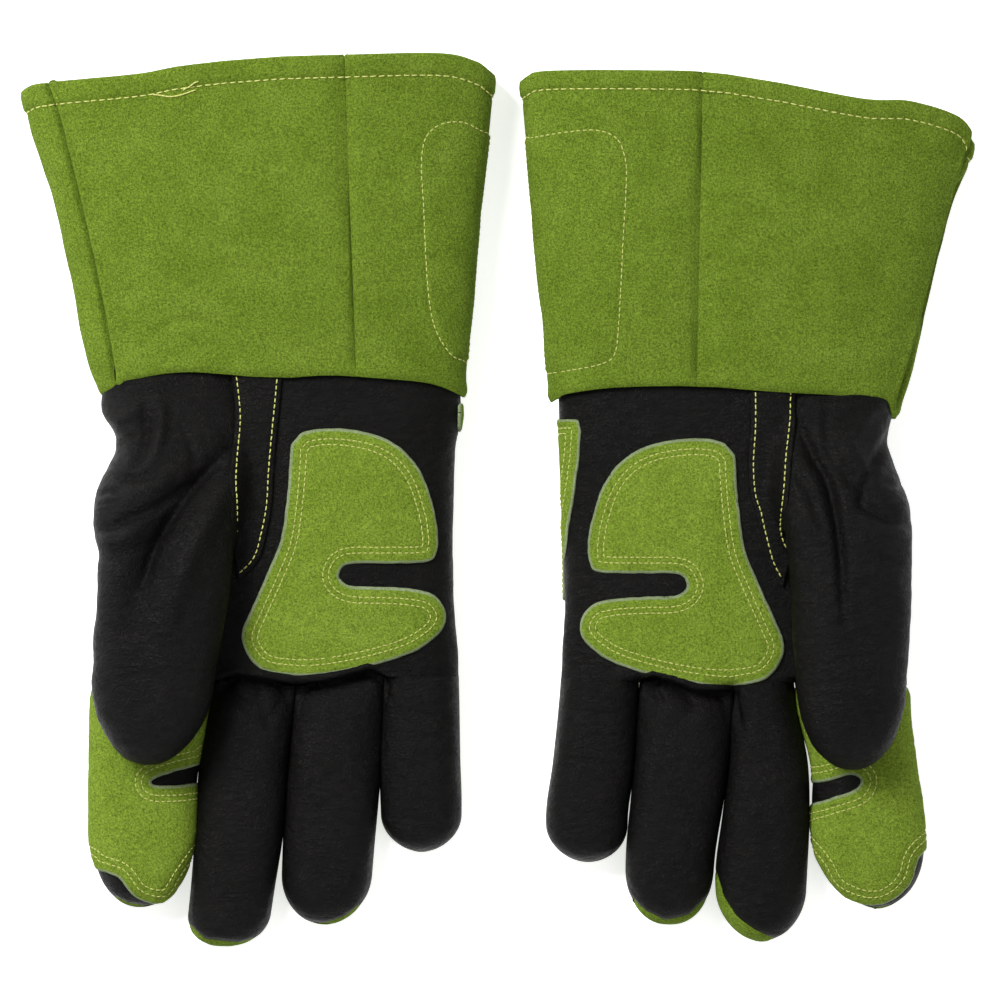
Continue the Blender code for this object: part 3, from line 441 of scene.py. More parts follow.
LEFT_PLAN = dict(
    wrist_fold=(10.5, 45.6),
    digits=dict(
        index=dict(
            line=(
                (-39, -58, 23), (-41, -84, 21.8), (-44.8, -104, 20.3), (-46, -120, 21.5),
                (-46.8, -134, 22.2), (-51, -163.4, 20.6)),
            tip_run=27,
            tip_power=0.55),
        middle=dict(
            line=(
                (-4, -58, 12.5), (-4.8, -80, 13.3), (-7, -104, 15.8), (-6.1, -126, 17.5),
                (-4.2, -150, 18.4), (-4.4, -176.4, 16.6)),
            tip_run=20,
            tip_power=0.5),
        ring=dict(
            line=(
                (24.2, -58, 19), (25.9, -84, 19.6), (28.8, -115, 18.9), (32.2, -143, 17.9),
                (32.6, -169.8, 17)),
            tip_run=22,
            tip_power=0.43),
        little=dict(
            line=(
                (59.4, -54, 16), (60.6, -76, 15.8), (62.6, -104, 16.6), (65.5, -125, 16.5),
                (65, -144.8, 16)),
            tip_run=15,
            tip_power=0.52)),
    thumb=(
        (-33, 56, 25), (-32.6, 40, 24.6), (-31.6, 28, 23.8), (-31.6, 20, 23.8), (-33.6, 8, 26),
        (-36.2, -2, 27), (-38.4, -12, 25.6), (-39.2, -24, 24.6), (-39.4, -40, 23.9), (-39.4, -54, 23.2),
        (-39.5, -70, 22.2), (-39.8, -86, 20.9), (-39.8, -107.4, 19.4)),
    rails=(
        (-74, -58, 75.4), (-50, -59, 74.8), (-39, -59.5, 74.4), (-20, -59.5, 74.6), (0, -58.5, 75.2),
        (20, -52, 75.9), (32, -52, 76.6), (42, -53, 77), (60, -55, 76.6)),
    knuckles=(
        (-70, -74), (-16, -72.8), (-8, -72.2), (6.4, -76.8), (11, -77.2), (22.8, -76.9), (32.4, -73.2),
        (39.2, -71.6), (44.8, -73.2), (50, -71.6), (84, -71)),
    wrist=(
        (-70, 34), (-60, 36), (-54, 38.6), (-37.6, 41.4), (-4.4, 43.4), (22, 45.4), (55.2, 45),
        (75.2, 42.6), (80, 40.6), (86, 40)),
    strap=(
        (
            (-15.6, 45), (-15.4, 36), (-15.2, 31.2), (-13.6, 17.2), (-12.8, 5.2), (-11.6, -8.8),
            (-12.4, -15.6), (-14.4, -20)),
        (
            (-1.6, 45), (-1.6, 28.8), (-0.8, 14.8), (-1.6, 2.8), (-3.6, -4), (-6.4, -15.6), (-9.2, -25.2),
            (-14, -34))),
    crease=(8, 42),
    thumb_tops=(
        (-108, 46.4, 24.6), (-90, 47.2, 25.4), (-60, 48.6, 26.6), (-30, 48.6, 26.6), (-14, 46.4, 23),
        (0, 42.5, 15), (14, 38, 9), (30, 32.6, 6), (42, 28.6, 5), (60, 28, 5)),
    thumb_strokes=(
        (((-18, 33), (-22.6, 21), (-30, 8), (-33, -5.5), (-35, -21), (-35.6, -34), (-36.4, -48)), 3.4, 2),
        (((-18, 33), (-22.6, 21), (-29, 8), (-31, -5.5), (-32, -18)), 2.2, 5),
        (((-30, 19.4), (-42, 6), (-51.4, -3.6), (-61, -7.4)), 2.2, 3.4),
        (((-36, 24), (-44, 14), (-54, 8)), -1.6, 4),
        (((-16, 14), (-22, 4), (-27, -10)), 1.6, 2),
        (((-58, 30), (-52, 20), (-46, 8), (-42, -6)), 2.2, 2.2),
        (((-64, -8), (-56, -8), (-47, -4), (-40, 2)), 1.6, 1.6),
        (((-50, 38), (-44, 30), (-38, 18)), -1.6, 3),
        (((-30, 40), (-30, 28), (-32, 16)), 1.2, 2),
        (((-64, 8), (-58, 6), (-52, 8)), 1, 1.2),
        (((-62, -26), (-54, -24), (-46, -20)), 0.8, 1.4)),
    palm_strokes=(
        (((20, -78), (26, -86), (32, -90)), 1, 2.4),
        (((42, -74), (38.5, -78), (35, -83)), 1.8, 1.5),
        (((30, -74), (26, -78), (23, -82)), 1.5, 1.5),
        (((9, -78), (6.5, -84), (4, -92)), 1.6, 1.8),
        (((50, -84), (60, -86), (72, -84)), 0.4, 1.8)),
    tip_edges=dict(
        index=(
            (-76, -150), (-69.6, -152), (-64, -158), (-56, -162.4), (-50, -163.4), (-40, -161.5),
            (-28, -154)),
        middle=(
            (-24, -168), (-16, -174.4), (-9.6, -175.6), (-1.6, -172), (6.4, -166), (11.6, -158),
            (14, -148.8), (18, -140)),
        ring=(
            (14, -156), (19.2, -161), (24.4, -166), (34.4, -168.4), (42.4, -164.8), (49.2, -158),
            (54, -152)),
        little=((42, -138), (50, -145), (60, -148), (72, -147), (84, -138))),
    patch_shift=(0, -4),
    heel=(
        (31.6, 69.6), (27.6, 68.6), (17.2, 69.4), (2.8, 71.2), (-11.2, 73.4), (-25.2, 74.7),
        (-39.2, 75.6)),
    heel_under=16,
    heel_lift=-0.1,
    notch=(
        (-19, -112.6), (-24.8, -112), (-31.2, -110.8), (-38.8, -108.6), (-43.2, -109.4), (-44.8, -112.4),
        (-42.4, -116.2), (-34.4, -119.2), (-25.6, -122), (-19, -123.5)),
    patch_tip=(
        (-18, -134), (-24, -141), (-28.4, -146.8), (-33.2, -154.8), (-42.4, -159.8), (-51.2, -160.6),
        (-58, -157.6), (-63.6, -151.2), (-66.5, -142.2), (-74, -135)),
    cuff=dict(
        thumb_rail=(
            (33.6, -58.4), (44, -62.4), (60, -66.4), (76, -70), (92, -73.6), (106.4, -77.2), (122, -81.6),
            (133.6, -86.8), (147, -90.6)),
        little_rail=((40, 80.6), (60, 82), (94, 86), (120, 88), (146, 90.2), (172, 92.6)),
        mouth=(
            (-94, 140), (-90.4, 145.6), (-84, 153.6), (-64, 159.6), (-44, 160.6), (-4.4, 168), (20, 171.2),
            (42, 171.8), (68.4, 172), (86, 171.6), (91.2, 170), (97, 166)),
        bottom=(
            (-66, 32), (-58.4, 33.6), (-53.6, 38.8), (-37.6, 41.6), (-4.4, 43.6), (22, 45.6), (55.2, 45.2),
            (75.2, 42.8), (80, 40.8), (86, 38)),
        centre_seam=((19.6, 172), (20.4, 130), (21.2, 90), (22, 45)),
        thumb_seam=((-89.6, 148), (-84, 130), (-76.4, 103), (-69, 74), (-61.5, 48), (-57.8, 34)),
        side_patch=(
            (100, 144), (88.4, 144.8), (75.2, 146.8), (62, 147.6), (54, 144.4), (50.8, 137.6), (50, 128.4),
            (51.2, 104.4), (52.8, 74), (54.4, 59.2), (59.2, 54.8), (70, 52.4), (81.2, 50.8), (100, 49)),
        dents=((((-40, 60), (-20, 66), (0, 62)), 0.5, 3), (((-60, 110), (-52, 90), (-48, 70)), 0.5, 4)),
        hem=7))

# The palm patch's outline, with its flex notch open towards the little finger.
PALM_PATCH = (
    (11.2, 26), (22, 27.8), (37.2, 26), (48.8, 20.8), (57.2, 11.2), (62, -1.6), (64, -12.4), (63.6, -20.4),
    (59.6, -23.6), (43.2, -24), (28.8, -24.4), (24.8, -28.8), (26, -32.8), (31.2, -35.2), (43.2, -35.6),
    (54.8, -36.4), (63.2, -38.8), (67.2, -45.2), (65.2, -52), (54.8, -59.6), (37.2, -65.2), (19.6, -68.4),
    (8, -68.8), (-4, -66.8), (-10.4, -60.4), (-12, -53.2), (-8.4, -44), (-1.6, -28.8), (3.6, -15.6),
    (6, 0.8), (7.2, 14.8), (7.8, 22))


# ---------------------------------------------------------------- tubes

def tube_skin(rows, values, *names):
    """A Skin from rings of points, with these named values at each point."""
    values = np.array(values)
    return grid_skin(np.array(rows), True, {name: values[..., k] for k, name in enumerate(names)})


def ring_points(half, top, base, around):
    """(across, up) round a flattened tube, from the little finger side over the top and back under."""
    angle = np.linspace(0, 2 * np.pi, 6 * around + 1)
    c, s = np.cos(angle), np.sin(angle)
    power = np.where(s >= 0, 2 / TOP_POWER, 2 / BASE_POWER)
    mid = base + MID_SHARE * (top - base)
    x = half * np.sign(c) * np.abs(c) ** power
    z = mid + np.where(s >= 0, top - mid, mid - base) * np.sign(s) * np.abs(s) ** power
    run = np.concatenate([[0], np.cumsum(np.hypot(np.diff(x), np.diff(z)))])
    at = np.linspace(0, run[-1], around + 1)[:-1]
    return np.interp(at, run, x), np.interp(at, run, z)


def profile(x, power):
    """How high a flattened tube's face is at x, from 1 in its middle to 0 at its sides."""
    return np.maximum(1 - np.abs(np.clip(x, -1, 1)) ** power, 0) ** (1 / power)


def by_along(table):
    """A smooth table whose second column is along, as a function of along."""
    fine = rising(curve(table, 160))
    return lambda y, column: np.interp(y, fine[:, 1], fine[:, column])


class Digit:
    """A finger or a thumb, as sections across the glove.

    Its line has its middle and its half width, and its heights are (along, top, base).
    """

    def __init__(self, line, heights, tip_run, tip_power):
        self.line, self.table, self.run, self.power = by_along(line), np.array(heights), tip_run, tip_power
        self.tip = line[-1][1]

    def at(self, y):
        """Middle, half width, top and base at y."""
        y = np.asarray(y, float)
        past = np.clip((self.tip + self.run - y) / self.run, 0, 1)
        half = self.line(y, 2) * np.maximum(1 - past**2, 1e-6) ** self.power
        top, base = (np.interp(y, self.table[:, 0], self.table[:, k]) for k in (1, 2))
        round_off = np.maximum(1 - past**4, 1e-6) ** 0.5
        mid = base + MID_SHARE * (top - base)
        return self.line(y, 0), half, mid + (top - mid) * round_off, mid - (mid - base) * round_off

    def rows(self, start, step):
        """Where the skin's rows lie along the glove, from the tip to the start."""
        count = int((start - self.tip - self.run) / step)
        body = np.linspace(start, self.tip + self.run, count, endpoint=False)
        turn = self.tip + self.run * (1 - np.sin(np.linspace(0, np.pi / 2, 26)))
        return np.concatenate([body, turn])[::-1]

    def heights(self, x, y):
        """Top and base at plan points, and whether they lie on the finger."""
        middle, half, top, base = self.at(y)
        mid = base + MID_SHARE * (top - base)
        u = (x - middle) / half
        above, below = (top - mid) * profile(u, TOP_POWER), (mid - base) * profile(u, BASE_POWER)
        return mid + above, mid - below, np.abs(u) < 1

    def skin(self, start, step, around, limits=lambda y: (-500.0, 500.0)):
        """The finger's skin. limits gives the least and most across at y, where neighbours press on it."""
        rows, values = [], []
        for y in self.rows(start, step):
            middle, half, top, base = self.at(y)
            x, z = ring_points(half, top, base, around)
            x = np.clip(x + middle, *limits(y))
            rows.append(np.column_stack([x, np.full(len(x), y), z]))
            mid = base + MID_SHARE * (top - base)
            values.append(np.column_stack([(z - mid) / max(top - mid, 0.1), (x - middle) / half]))
        return tube_skin(rows, values, "lift", "u")


# ---------------------------------------------------------------- pieces

def rim_of(skin):
    """The skin's boundary: ordered point pairs, and the outward direction at each boundary point."""
    edges = np.vstack([skin.faces[:, [0, 1]], skin.faces[:, [1, 2]], skin.faces[:, [2, 0]]])
    keys = np.sort(edges, axis=1)
    _, index, count = np.unique(keys, axis=0, return_inverse=True, return_counts=True)
    border = edges[count[index.reshape(-1)] == 1]
    out = np.zeros_like(skin.points)
    step = skin.points[border[:, 1]] - skin.points[border[:, 0]]
    for k in range(2):
        push = np.cross(step, skin.normals[border[:, k]])
        for axis in range(3):
            out[:, axis] += np.bincount(border[:, k], push[:, axis], len(out))
    out /= np.maximum(np.linalg.norm(out, axis=1), 1e-12)[:, None]
    return border, out


def thicken(skin, thick, bulge=0.25):
    """A closed body: the skin, a copy of it further in, and a rounded rim. Also which edges are rims."""
    border, out = rim_of(skin)
    thick = np.broadcast_to(np.asarray(thick, float), len(skin.points))[:, None]
    count = len(skin.points)
    points = [skin.points, skin.points - skin.normals * thick]
    ring, index = np.unique(border), np.zeros(count, int)
    index[ring] = np.arange(len(ring))
    levels = [lambda e: e]
    start = 2 * count
    for depth, swell in ((0.2, 0.8), (0.5, 1.0), (0.8, 0.8)):
        points.append(skin.points[ring] - skin.normals[ring] * thick[ring] * depth
                      + out[ring] * thick[ring] * swell * bulge)
        levels.append(lambda e, s=start: s + index[e])
        start += len(ring)
    levels.append(lambda e: e + count)
    faces = [skin.faces, skin.faces[:, ::-1] + count]
    for above, below in zip(levels, levels[1:]):
        a, b = above(border[:, 0]), above(border[:, 1])
        c, d = below(border[:, 1]), below(border[:, 0])
        faces += [np.stack([b, a, d], 1), np.stack([b, d, c], 1)]
    return np.vstack(points), np.vstack(faces), border


def new_object(name, points, faces, material, smooth=True):
    """A mesh object of these triangles, in metres."""
    mesh = bpy.data.meshes.new(name)
    mesh.vertices.add(len(points))
    mesh.vertices.foreach_set("co", np.ascontiguousarray(points, np.float32).ravel())
    mesh.loops.add(faces.size)
    mesh.loops.foreach_set("vertex_index", np.ascontiguousarray(faces, np.int32).ravel())
    mesh.polygons.add(len(faces))
    mesh.polygons.foreach_set("loop_start", np.arange(0, faces.size, 3, dtype=np.int32))
    mesh.polygons.foreach_set("use_smooth", np.full(len(faces), smooth))
    mesh.update(calc_edges=True)
    mesh.materials.append(material)
    made = bpy.data.objects.new(name, mesh)
    bpy.context.scene.collection.objects.link(made)
    return made


def mark_sharp(obj, border):
    """Splits the shading along these edges, so that a skin goes on smoothly past a cut."""
    mesh = obj.data
    pairs = np.empty(len(mesh.edges) * 2, np.int32)
    mesh.edges.foreach_get("vertices", pairs)
    pairs = np.sort(pairs.reshape(-1, 2), axis=1).astype(np.int64)
    wanted = np.sort(border, axis=1)
    size = len(mesh.vertices)
    sharp = np.isin(pairs[:, 0] * size + pairs[:, 1], wanted[:, 0] * size + wanted[:, 1])
    mesh.attributes.new("sharp_edge", "BOOLEAN", "EDGE").data.foreach_set("value", sharp)


def place(glove, name, points, faces, material, slot_name, nodes=()):
    """A new piece in the frame, in the place of these CAD nodes of the glove."""
    if glove.side < 0:
        faces = faces[:, ::-1]
    made = new_object(f"{glove.name}_{name}", glove.world(points), faces, material)
    if nodes:
        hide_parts(*(f"{glove.name}_{node}" for node in nodes))
    return made


def settle(glove, made, motion):
    """Lets a piece ride one body. Given two bodies and two places along the glove, it only fixes the piece
    where it is, and does not bend it.
    """
    if len(motion) == 1:
        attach(made, f"{glove.name}_{motion[0]}")
        return
    a, b, start, end = motion
    ends = [Vector(glove.world([(0.0, along, 0.0)])[0]) for along in (start, end)]
    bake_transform(made)


def panel(glove, name, skin, kind, motion, bulge=0.25, rim=None, thick=None, nodes=None):
    """A piece of leather or cloth, which replaces the CAD node of its name, or these nodes.

    Where it has a rim material, its cut edge shows; otherwise its shading ends at the edge.
    """
    made_of, slot_name, usual = kind
    points, faces, border = thicken(skin, usual if thick is None else thick, bulge)
    made = place(glove, name, points, faces, made_of, slot_name, nodes or [name])
    if rim:
        made.data.materials.append(rim)
        indices = np.zeros(len(faces), np.int32)
        indices[2 * len(skin.faces):] = 1
        made.data.polygons.foreach_set("material_index", indices)
    else:
        mark_sharp(made, border)
    settle(glove, made, motion)


# ---------------------------------------------------------------- stitches

# Each kind of stitch: the distance from one to the next, its length, and the thread's radius.
PATCH_STITCH = (2.35, 1.7, 0.22)
STRAP_STITCH = (2.55, 1.9, 0.27)
HEM_STITCH = (3.3, 2.5, 0.27)
SIDE_STITCH = (2.6, 1.8, 0.22)
OVERLAP_STITCH = (1.7, 2.3, 0.3)

# One stitch, as rings along it: how far along its half length, how thick, and how far its middle rises.
STITCH_SIDES = 6
STITCH_ENDS = np.array([-1.0, -0.86, -0.5, 0.0, 0.5, 0.86, 1.0])
STITCH_GIRTH = np.array([0.35, 0.8, 1.0, 1.0, 1.0, 0.8, 0.35])
STITCH_BOW = np.array([-0.85, -0.35, 0.25, 0.45, 0.25, -0.35, -0.85])


def tree(skin):
    """A skin's triangles, ready for rays."""
    return BVHTree.FromPolygons(skin.points.tolist(), skin.faces.tolist())


def dropped(line, surface):
    """A plan line laid on a surface from above: points and normals where it lands."""
    found = []
    for x, y in np.asarray(line, float)[:, :2]:
        spot, normal, _, _ = surface.ray_cast(Vector((x, y, 100.0)), DOWN)
        if spot is not None:
            found.append((*spot, *normal))
    return np.array(found)


def stitch_faces():
    """The triangles of one stitch, closed at both ends."""
    cells = np.arange(len(STITCH_ENDS) * STITCH_SIDES).reshape(-1, STITCH_SIDES)
    after = np.roll(cells, -1, axis=1)
    a, b, c, d = cells[:-1], after[:-1], after[1:], cells[1:]
    shell = np.concatenate([np.stack([a, b, c], -1).reshape(-1, 3), np.stack([a, c, d], -1).reshape(-1, 3)])
    caps = np.array([[0, k + 1, k] for k in range(1, STITCH_SIDES - 1)])
    return np.vstack([shell, caps, caps[:, ::-1] + cells[-1, 0]])


def stitches(glove, name, rows, stitch, motion, lift=0.1):
    """Thread laid along rows of (point, normal): one capsule per stitch, its ends sunk into the leather."""
    random = np.random.default_rng(len(name) * 7 + glove.side)
    pitch, length, radius = stitch
    angles = np.arange(STITCH_SIDES) / STITCH_SIDES * 2 * np.pi
    faces = stitch_faces()
    points, all_faces = [], []
    for row in rows:
        if len(row) < 2:
            continue
        run = np.concatenate([[0], np.cumsum(np.linalg.norm(np.diff(row[:, :3], axis=0), axis=1))])
        for s in np.arange(pitch * 0.5, run[-1] - pitch * 0.4, pitch):
            s += random.uniform(-0.06, 0.06) * pitch
            spot = np.array([np.interp(s, run, row[:, k]) for k in range(3)])
            up = np.array([np.interp(s, run, row[:, k]) for k in range(3, 6)])
            up /= np.linalg.norm(up)
            ahead = np.array([np.interp(s + 0.5, run, row[:, k]) - np.interp(s - 0.5, run, row[:, k])
                              for k in range(3)])
            ahead -= up * (ahead @ up)
            ahead /= max(np.linalg.norm(ahead), 1e-9)
            aside = np.cross(up, ahead)
            yaw = random.uniform(-0.10, 0.10)
            c, s = math.cos(yaw), math.sin(yaw)
            ahead, aside = ahead * c + aside * s, aside * c - ahead * s
            half = length * random.uniform(0.46, 0.52)
            core = spot + STITCH_ENDS[:, None] * half * ahead + (STITCH_BOW[:, None] * radius + lift) * up
            tube = (core[:, None] + STITCH_GIRTH[:, None, None] * radius
                    * (np.cos(angles)[:, None] * aside + np.sin(angles)[:, None] * up))
            all_faces.append(faces + len(points) * len(STITCH_ENDS) * STITCH_SIDES)
            points.append(tube.reshape(-1, 3))
    if points:
        made = place(glove, name, np.vstack(points), np.vstack(all_faces), THREAD, "patch_suede")
        settle(glove, made, motion)


# ---------------------------------------------------------------- materials

def grey(value):
    """A neutral colour."""
    return (value, value, value)


class Material:
    """A Principled material, with a short way to add each kind of texture node that the leathers need."""

    def __init__(self, name, colour, roughness):
        self.made = bpy.data.materials.new(name)
        self.made.use_nodes = True
        self.nodes, self.links = self.made.node_tree.nodes, self.made.node_tree.links
        self.shader = self.nodes["Principled BSDF"]
        self.set("Base Color", (*colour, 1))
        self.set("Roughness", roughness)

    def set(self, socket, value):
        """Gives a socket of the shader one value all over."""
        self.shader.inputs[socket].default_value = value

    def drive(self, socket, value):
        """Feeds a socket of the shader from a texture."""
        self.links.new(value, self.shader.inputs[socket])

    def coordinates(self):
        return self.nodes.new("ShaderNodeTexCoord").outputs["Object"]

    def noise(self, place, scale, detail=3.0, rough=0.55):
        made = self.nodes.new("ShaderNodeTexNoise")
        made.inputs["Scale"].default_value = scale
        made.inputs["Detail"].default_value = detail
        made.inputs["Roughness"].default_value = rough
        self.links.new(place, made.inputs["Vector"])
        return made.outputs["Fac"]

    def ramp(self, value, *stops):
        """A colour ramp through (place, colour) stops."""
        made = self.nodes.new("ShaderNodeValToRGB")
        while len(made.color_ramp.elements) < len(stops):
            made.color_ramp.elements.new(0.5)
        for element, (spot, colour) in zip(made.color_ramp.elements, stops):
            element.position = spot
            element.color = (*colour, 1)
        self.links.new(value, made.inputs["Fac"])
        return made.outputs["Color"]

    def mixed(self, kind, share, a, b):
        """Colour b over colour a, in this blend mode."""
        made = self.nodes.new("ShaderNodeMix")
        made.data_type, made.blend_type = "RGBA", kind
        made.inputs["Factor"].default_value = share
        for socket, value in (("A", a), ("B", b)):
            self.links.new(value, next(s for s in made.inputs if s.name == socket and s.type == "RGBA"))
        return next(s for s in made.outputs if s.type == "RGBA")

    def bump(self, value, strength, distance, below=None):
        """Relief from a value, on top of the relief below."""
        made = self.nodes.new("ShaderNodeBump")
        made.inputs["Strength"].default_value = strength
        made.inputs["Distance"].default_value = distance
        self.links.new(value, made.inputs["Height"])
        if below is not None:
            self.links.new(below, made.inputs["Normal"])
        self.drive("Normal", made.outputs["Normal"])
        return made.outputs["Normal"]


def suede(name, dark, mid, light, nap, speck):
    """Split leather: a short nap that catches the light unevenly, in patches and in fine specks, with
    painted shade where its finest grain is low.
    """
    it = Material(name, mid, 0.95)
    place_at = it.coordinates()
    cloud = it.noise(place_at, 60.0, 5.0, 0.62)
    fine = it.noise(place_at, nap, 4.0, 0.8)
    grain = it.noise(place_at, nap * 2.3, 2.0, 0.7)
    base = it.ramp(cloud, (0.30, dark), (0.52, mid), (0.74, light))
    specks = it.ramp(fine, (0.34, grey(1 - speck)), (0.5, grey(1.0)), (0.66, grey(1 + speck)))
    tinted = it.mixed("MULTIPLY", 1.0, base, specks)
    # painted shade: the colour is darkened where the fine grain relief is lowest
    grain_recess_shade = it.ramp(grain, (0.34, grey(1 - speck * 0.9)), (0.52, grey(1.0)))
    it.drive("Base Color", it.mixed("MULTIPLY", 1.0, tinted, grain_recess_shade))
    it.set("Sheen Weight", 0.05)
    it.set("Sheen Roughness", 0.6)
    it.set("Sheen Tint", (*light, 1))
    it.set("Specular IOR Level", 0.06)
    first = it.bump(fine, 1.0, 0.0012)
    it.bump(grain, 0.8, 0.0006, first)
    return it.made


def black_leather():
    """Full grain leather: near black, with fine pebbles, creases across the glove, and a low shine. Its
    colour carries painted shade in the creases' valleys and the pebbles' grooves, and painted highlight on
    the creases' ridges.
    """
    it = Material("black grain leather", (0.004, 0.004, 0.0038), 0.45)
    place_at = it.coordinates()
    cloud = it.noise(place_at, 30.0, 4.0, 0.6)
    pebble = it.nodes.new("ShaderNodeTexVoronoi")
    pebble.feature = "DISTANCE_TO_EDGE"
    pebble.inputs["Scale"].default_value = 800.0
    warp = it.noise(place_at, 900.0, 2.0)
    it.links.new(it.mixed("LINEAR_LIGHT", 0.0012, place_at, warp), pebble.inputs["Vector"])
    cells = it.ramp(pebble.outputs["Distance"], (0.0, grey(0.0)), (0.22, grey(1.0)))
    long = it.nodes.new("ShaderNodeMapping")
    long.inputs["Scale"].default_value = (0.45, 1.0, 1.0)
    it.links.new(place_at, long.inputs["Vector"])
    creased = it.noise(long.outputs["Vector"], 430.0, 5.0, 0.66)
    # painted shade and painted highlight: the colour is darkened in the valleys of the crease relief and
    # lightened on its ridges
    crease_shade_and_highlight = it.ramp(creased, (0.36, grey(0.55)), (0.5, grey(1.0)), (0.66, grey(1.5)))
    worn = it.ramp(cloud, (0.35, (0.0020, 0.0017, 0.0013)), (0.65, (0.0038, 0.0033, 0.0027)))
    # random worn tone, with painted shade: the colour is darkened along the grooves between the pebbles,
    # where their relief is lowest
    worn_tone_and_groove_shade = it.mixed("MULTIPLY", 0.8, worn, cells)
    it.drive("Base Color", it.mixed("MULTIPLY", 1.0, worn_tone_and_groove_shade, crease_shade_and_highlight))
    it.drive("Roughness", it.ramp(creased, (0.38, grey(0.54)), (0.62, grey(0.38))))
    it.set("Specular IOR Level", 0.115)
    first = it.bump(cells, 0.8, 0.00022)
    it.bump(creased, 0.9, 0.0012, first)
    return it.made


def cotton():
    """A plain, pale weave."""
    it = Material("lining cotton", (0.55, 0.53, 0.47), 0.95)
    weave = it.nodes.new("ShaderNodeTexWave")
    weave.inputs["Scale"].default_value = 480.0
    weave.inputs["Distortion"].default_value = 1.5
    it.links.new(it.coordinates(), weave.inputs["Vector"])
    threads = it.ramp(weave.outputs["Fac"], (0.2, (0.46, 0.44, 0.38)), (0.8, (0.62, 0.60, 0.54)))
    it.drive("Base Color", threads)
    it.bump(weave.outputs["Fac"], 0.4, 0.0003)
    return it.made


def thread():
    """Twisted thread, yellow-green."""
    it = Material("pale thread", (0.62, 0.60, 0.20), 0.6)
    twist = it.noise(it.coordinates(), 1400.0, 2.0)
    it.drive("Base Color", it.ramp(twist, (0.3, (0.36, 0.38, 0.09)), (0.7, (0.56, 0.56, 0.17))))
    it.bump(twist, 0.5, 0.0002)
    return it.made


CUFF_SUEDE = suede(
    "green suede", (0.138, 0.218, 0.018), (0.164, 0.253, 0.024), (0.192, 0.288, 0.032), 1150.0, 0.52)
PATCH_SUEDE = suede(
    "patch suede", (0.186, 0.281, 0.026), (0.214, 0.318, 0.033), (0.245, 0.354, 0.042), 1120.0, 0.50)
RAW_EDGE = suede("raw suede edge", (0.24, 0.31, 0.15), (0.31, 0.38, 0.20), (0.38, 0.45, 0.26), 1400.0, 0.3)
BLACK = black_leather()
COTTON = cotton()
THREAD = thread()

# What each kind of panel is made of: its material, its slot and its usual thickness.
GRAIN = (BLACK, "black_grain", LEATHER)
GREEN = (CUFF_SUEDE, "green_suede", LEATHER)
PATCH = (PATCH_SUEDE, "patch_suede", SUEDE)
CLOTH = (COTTON, "lining_cotton", LINING)


# ---------------------------------------------------------------- the glove

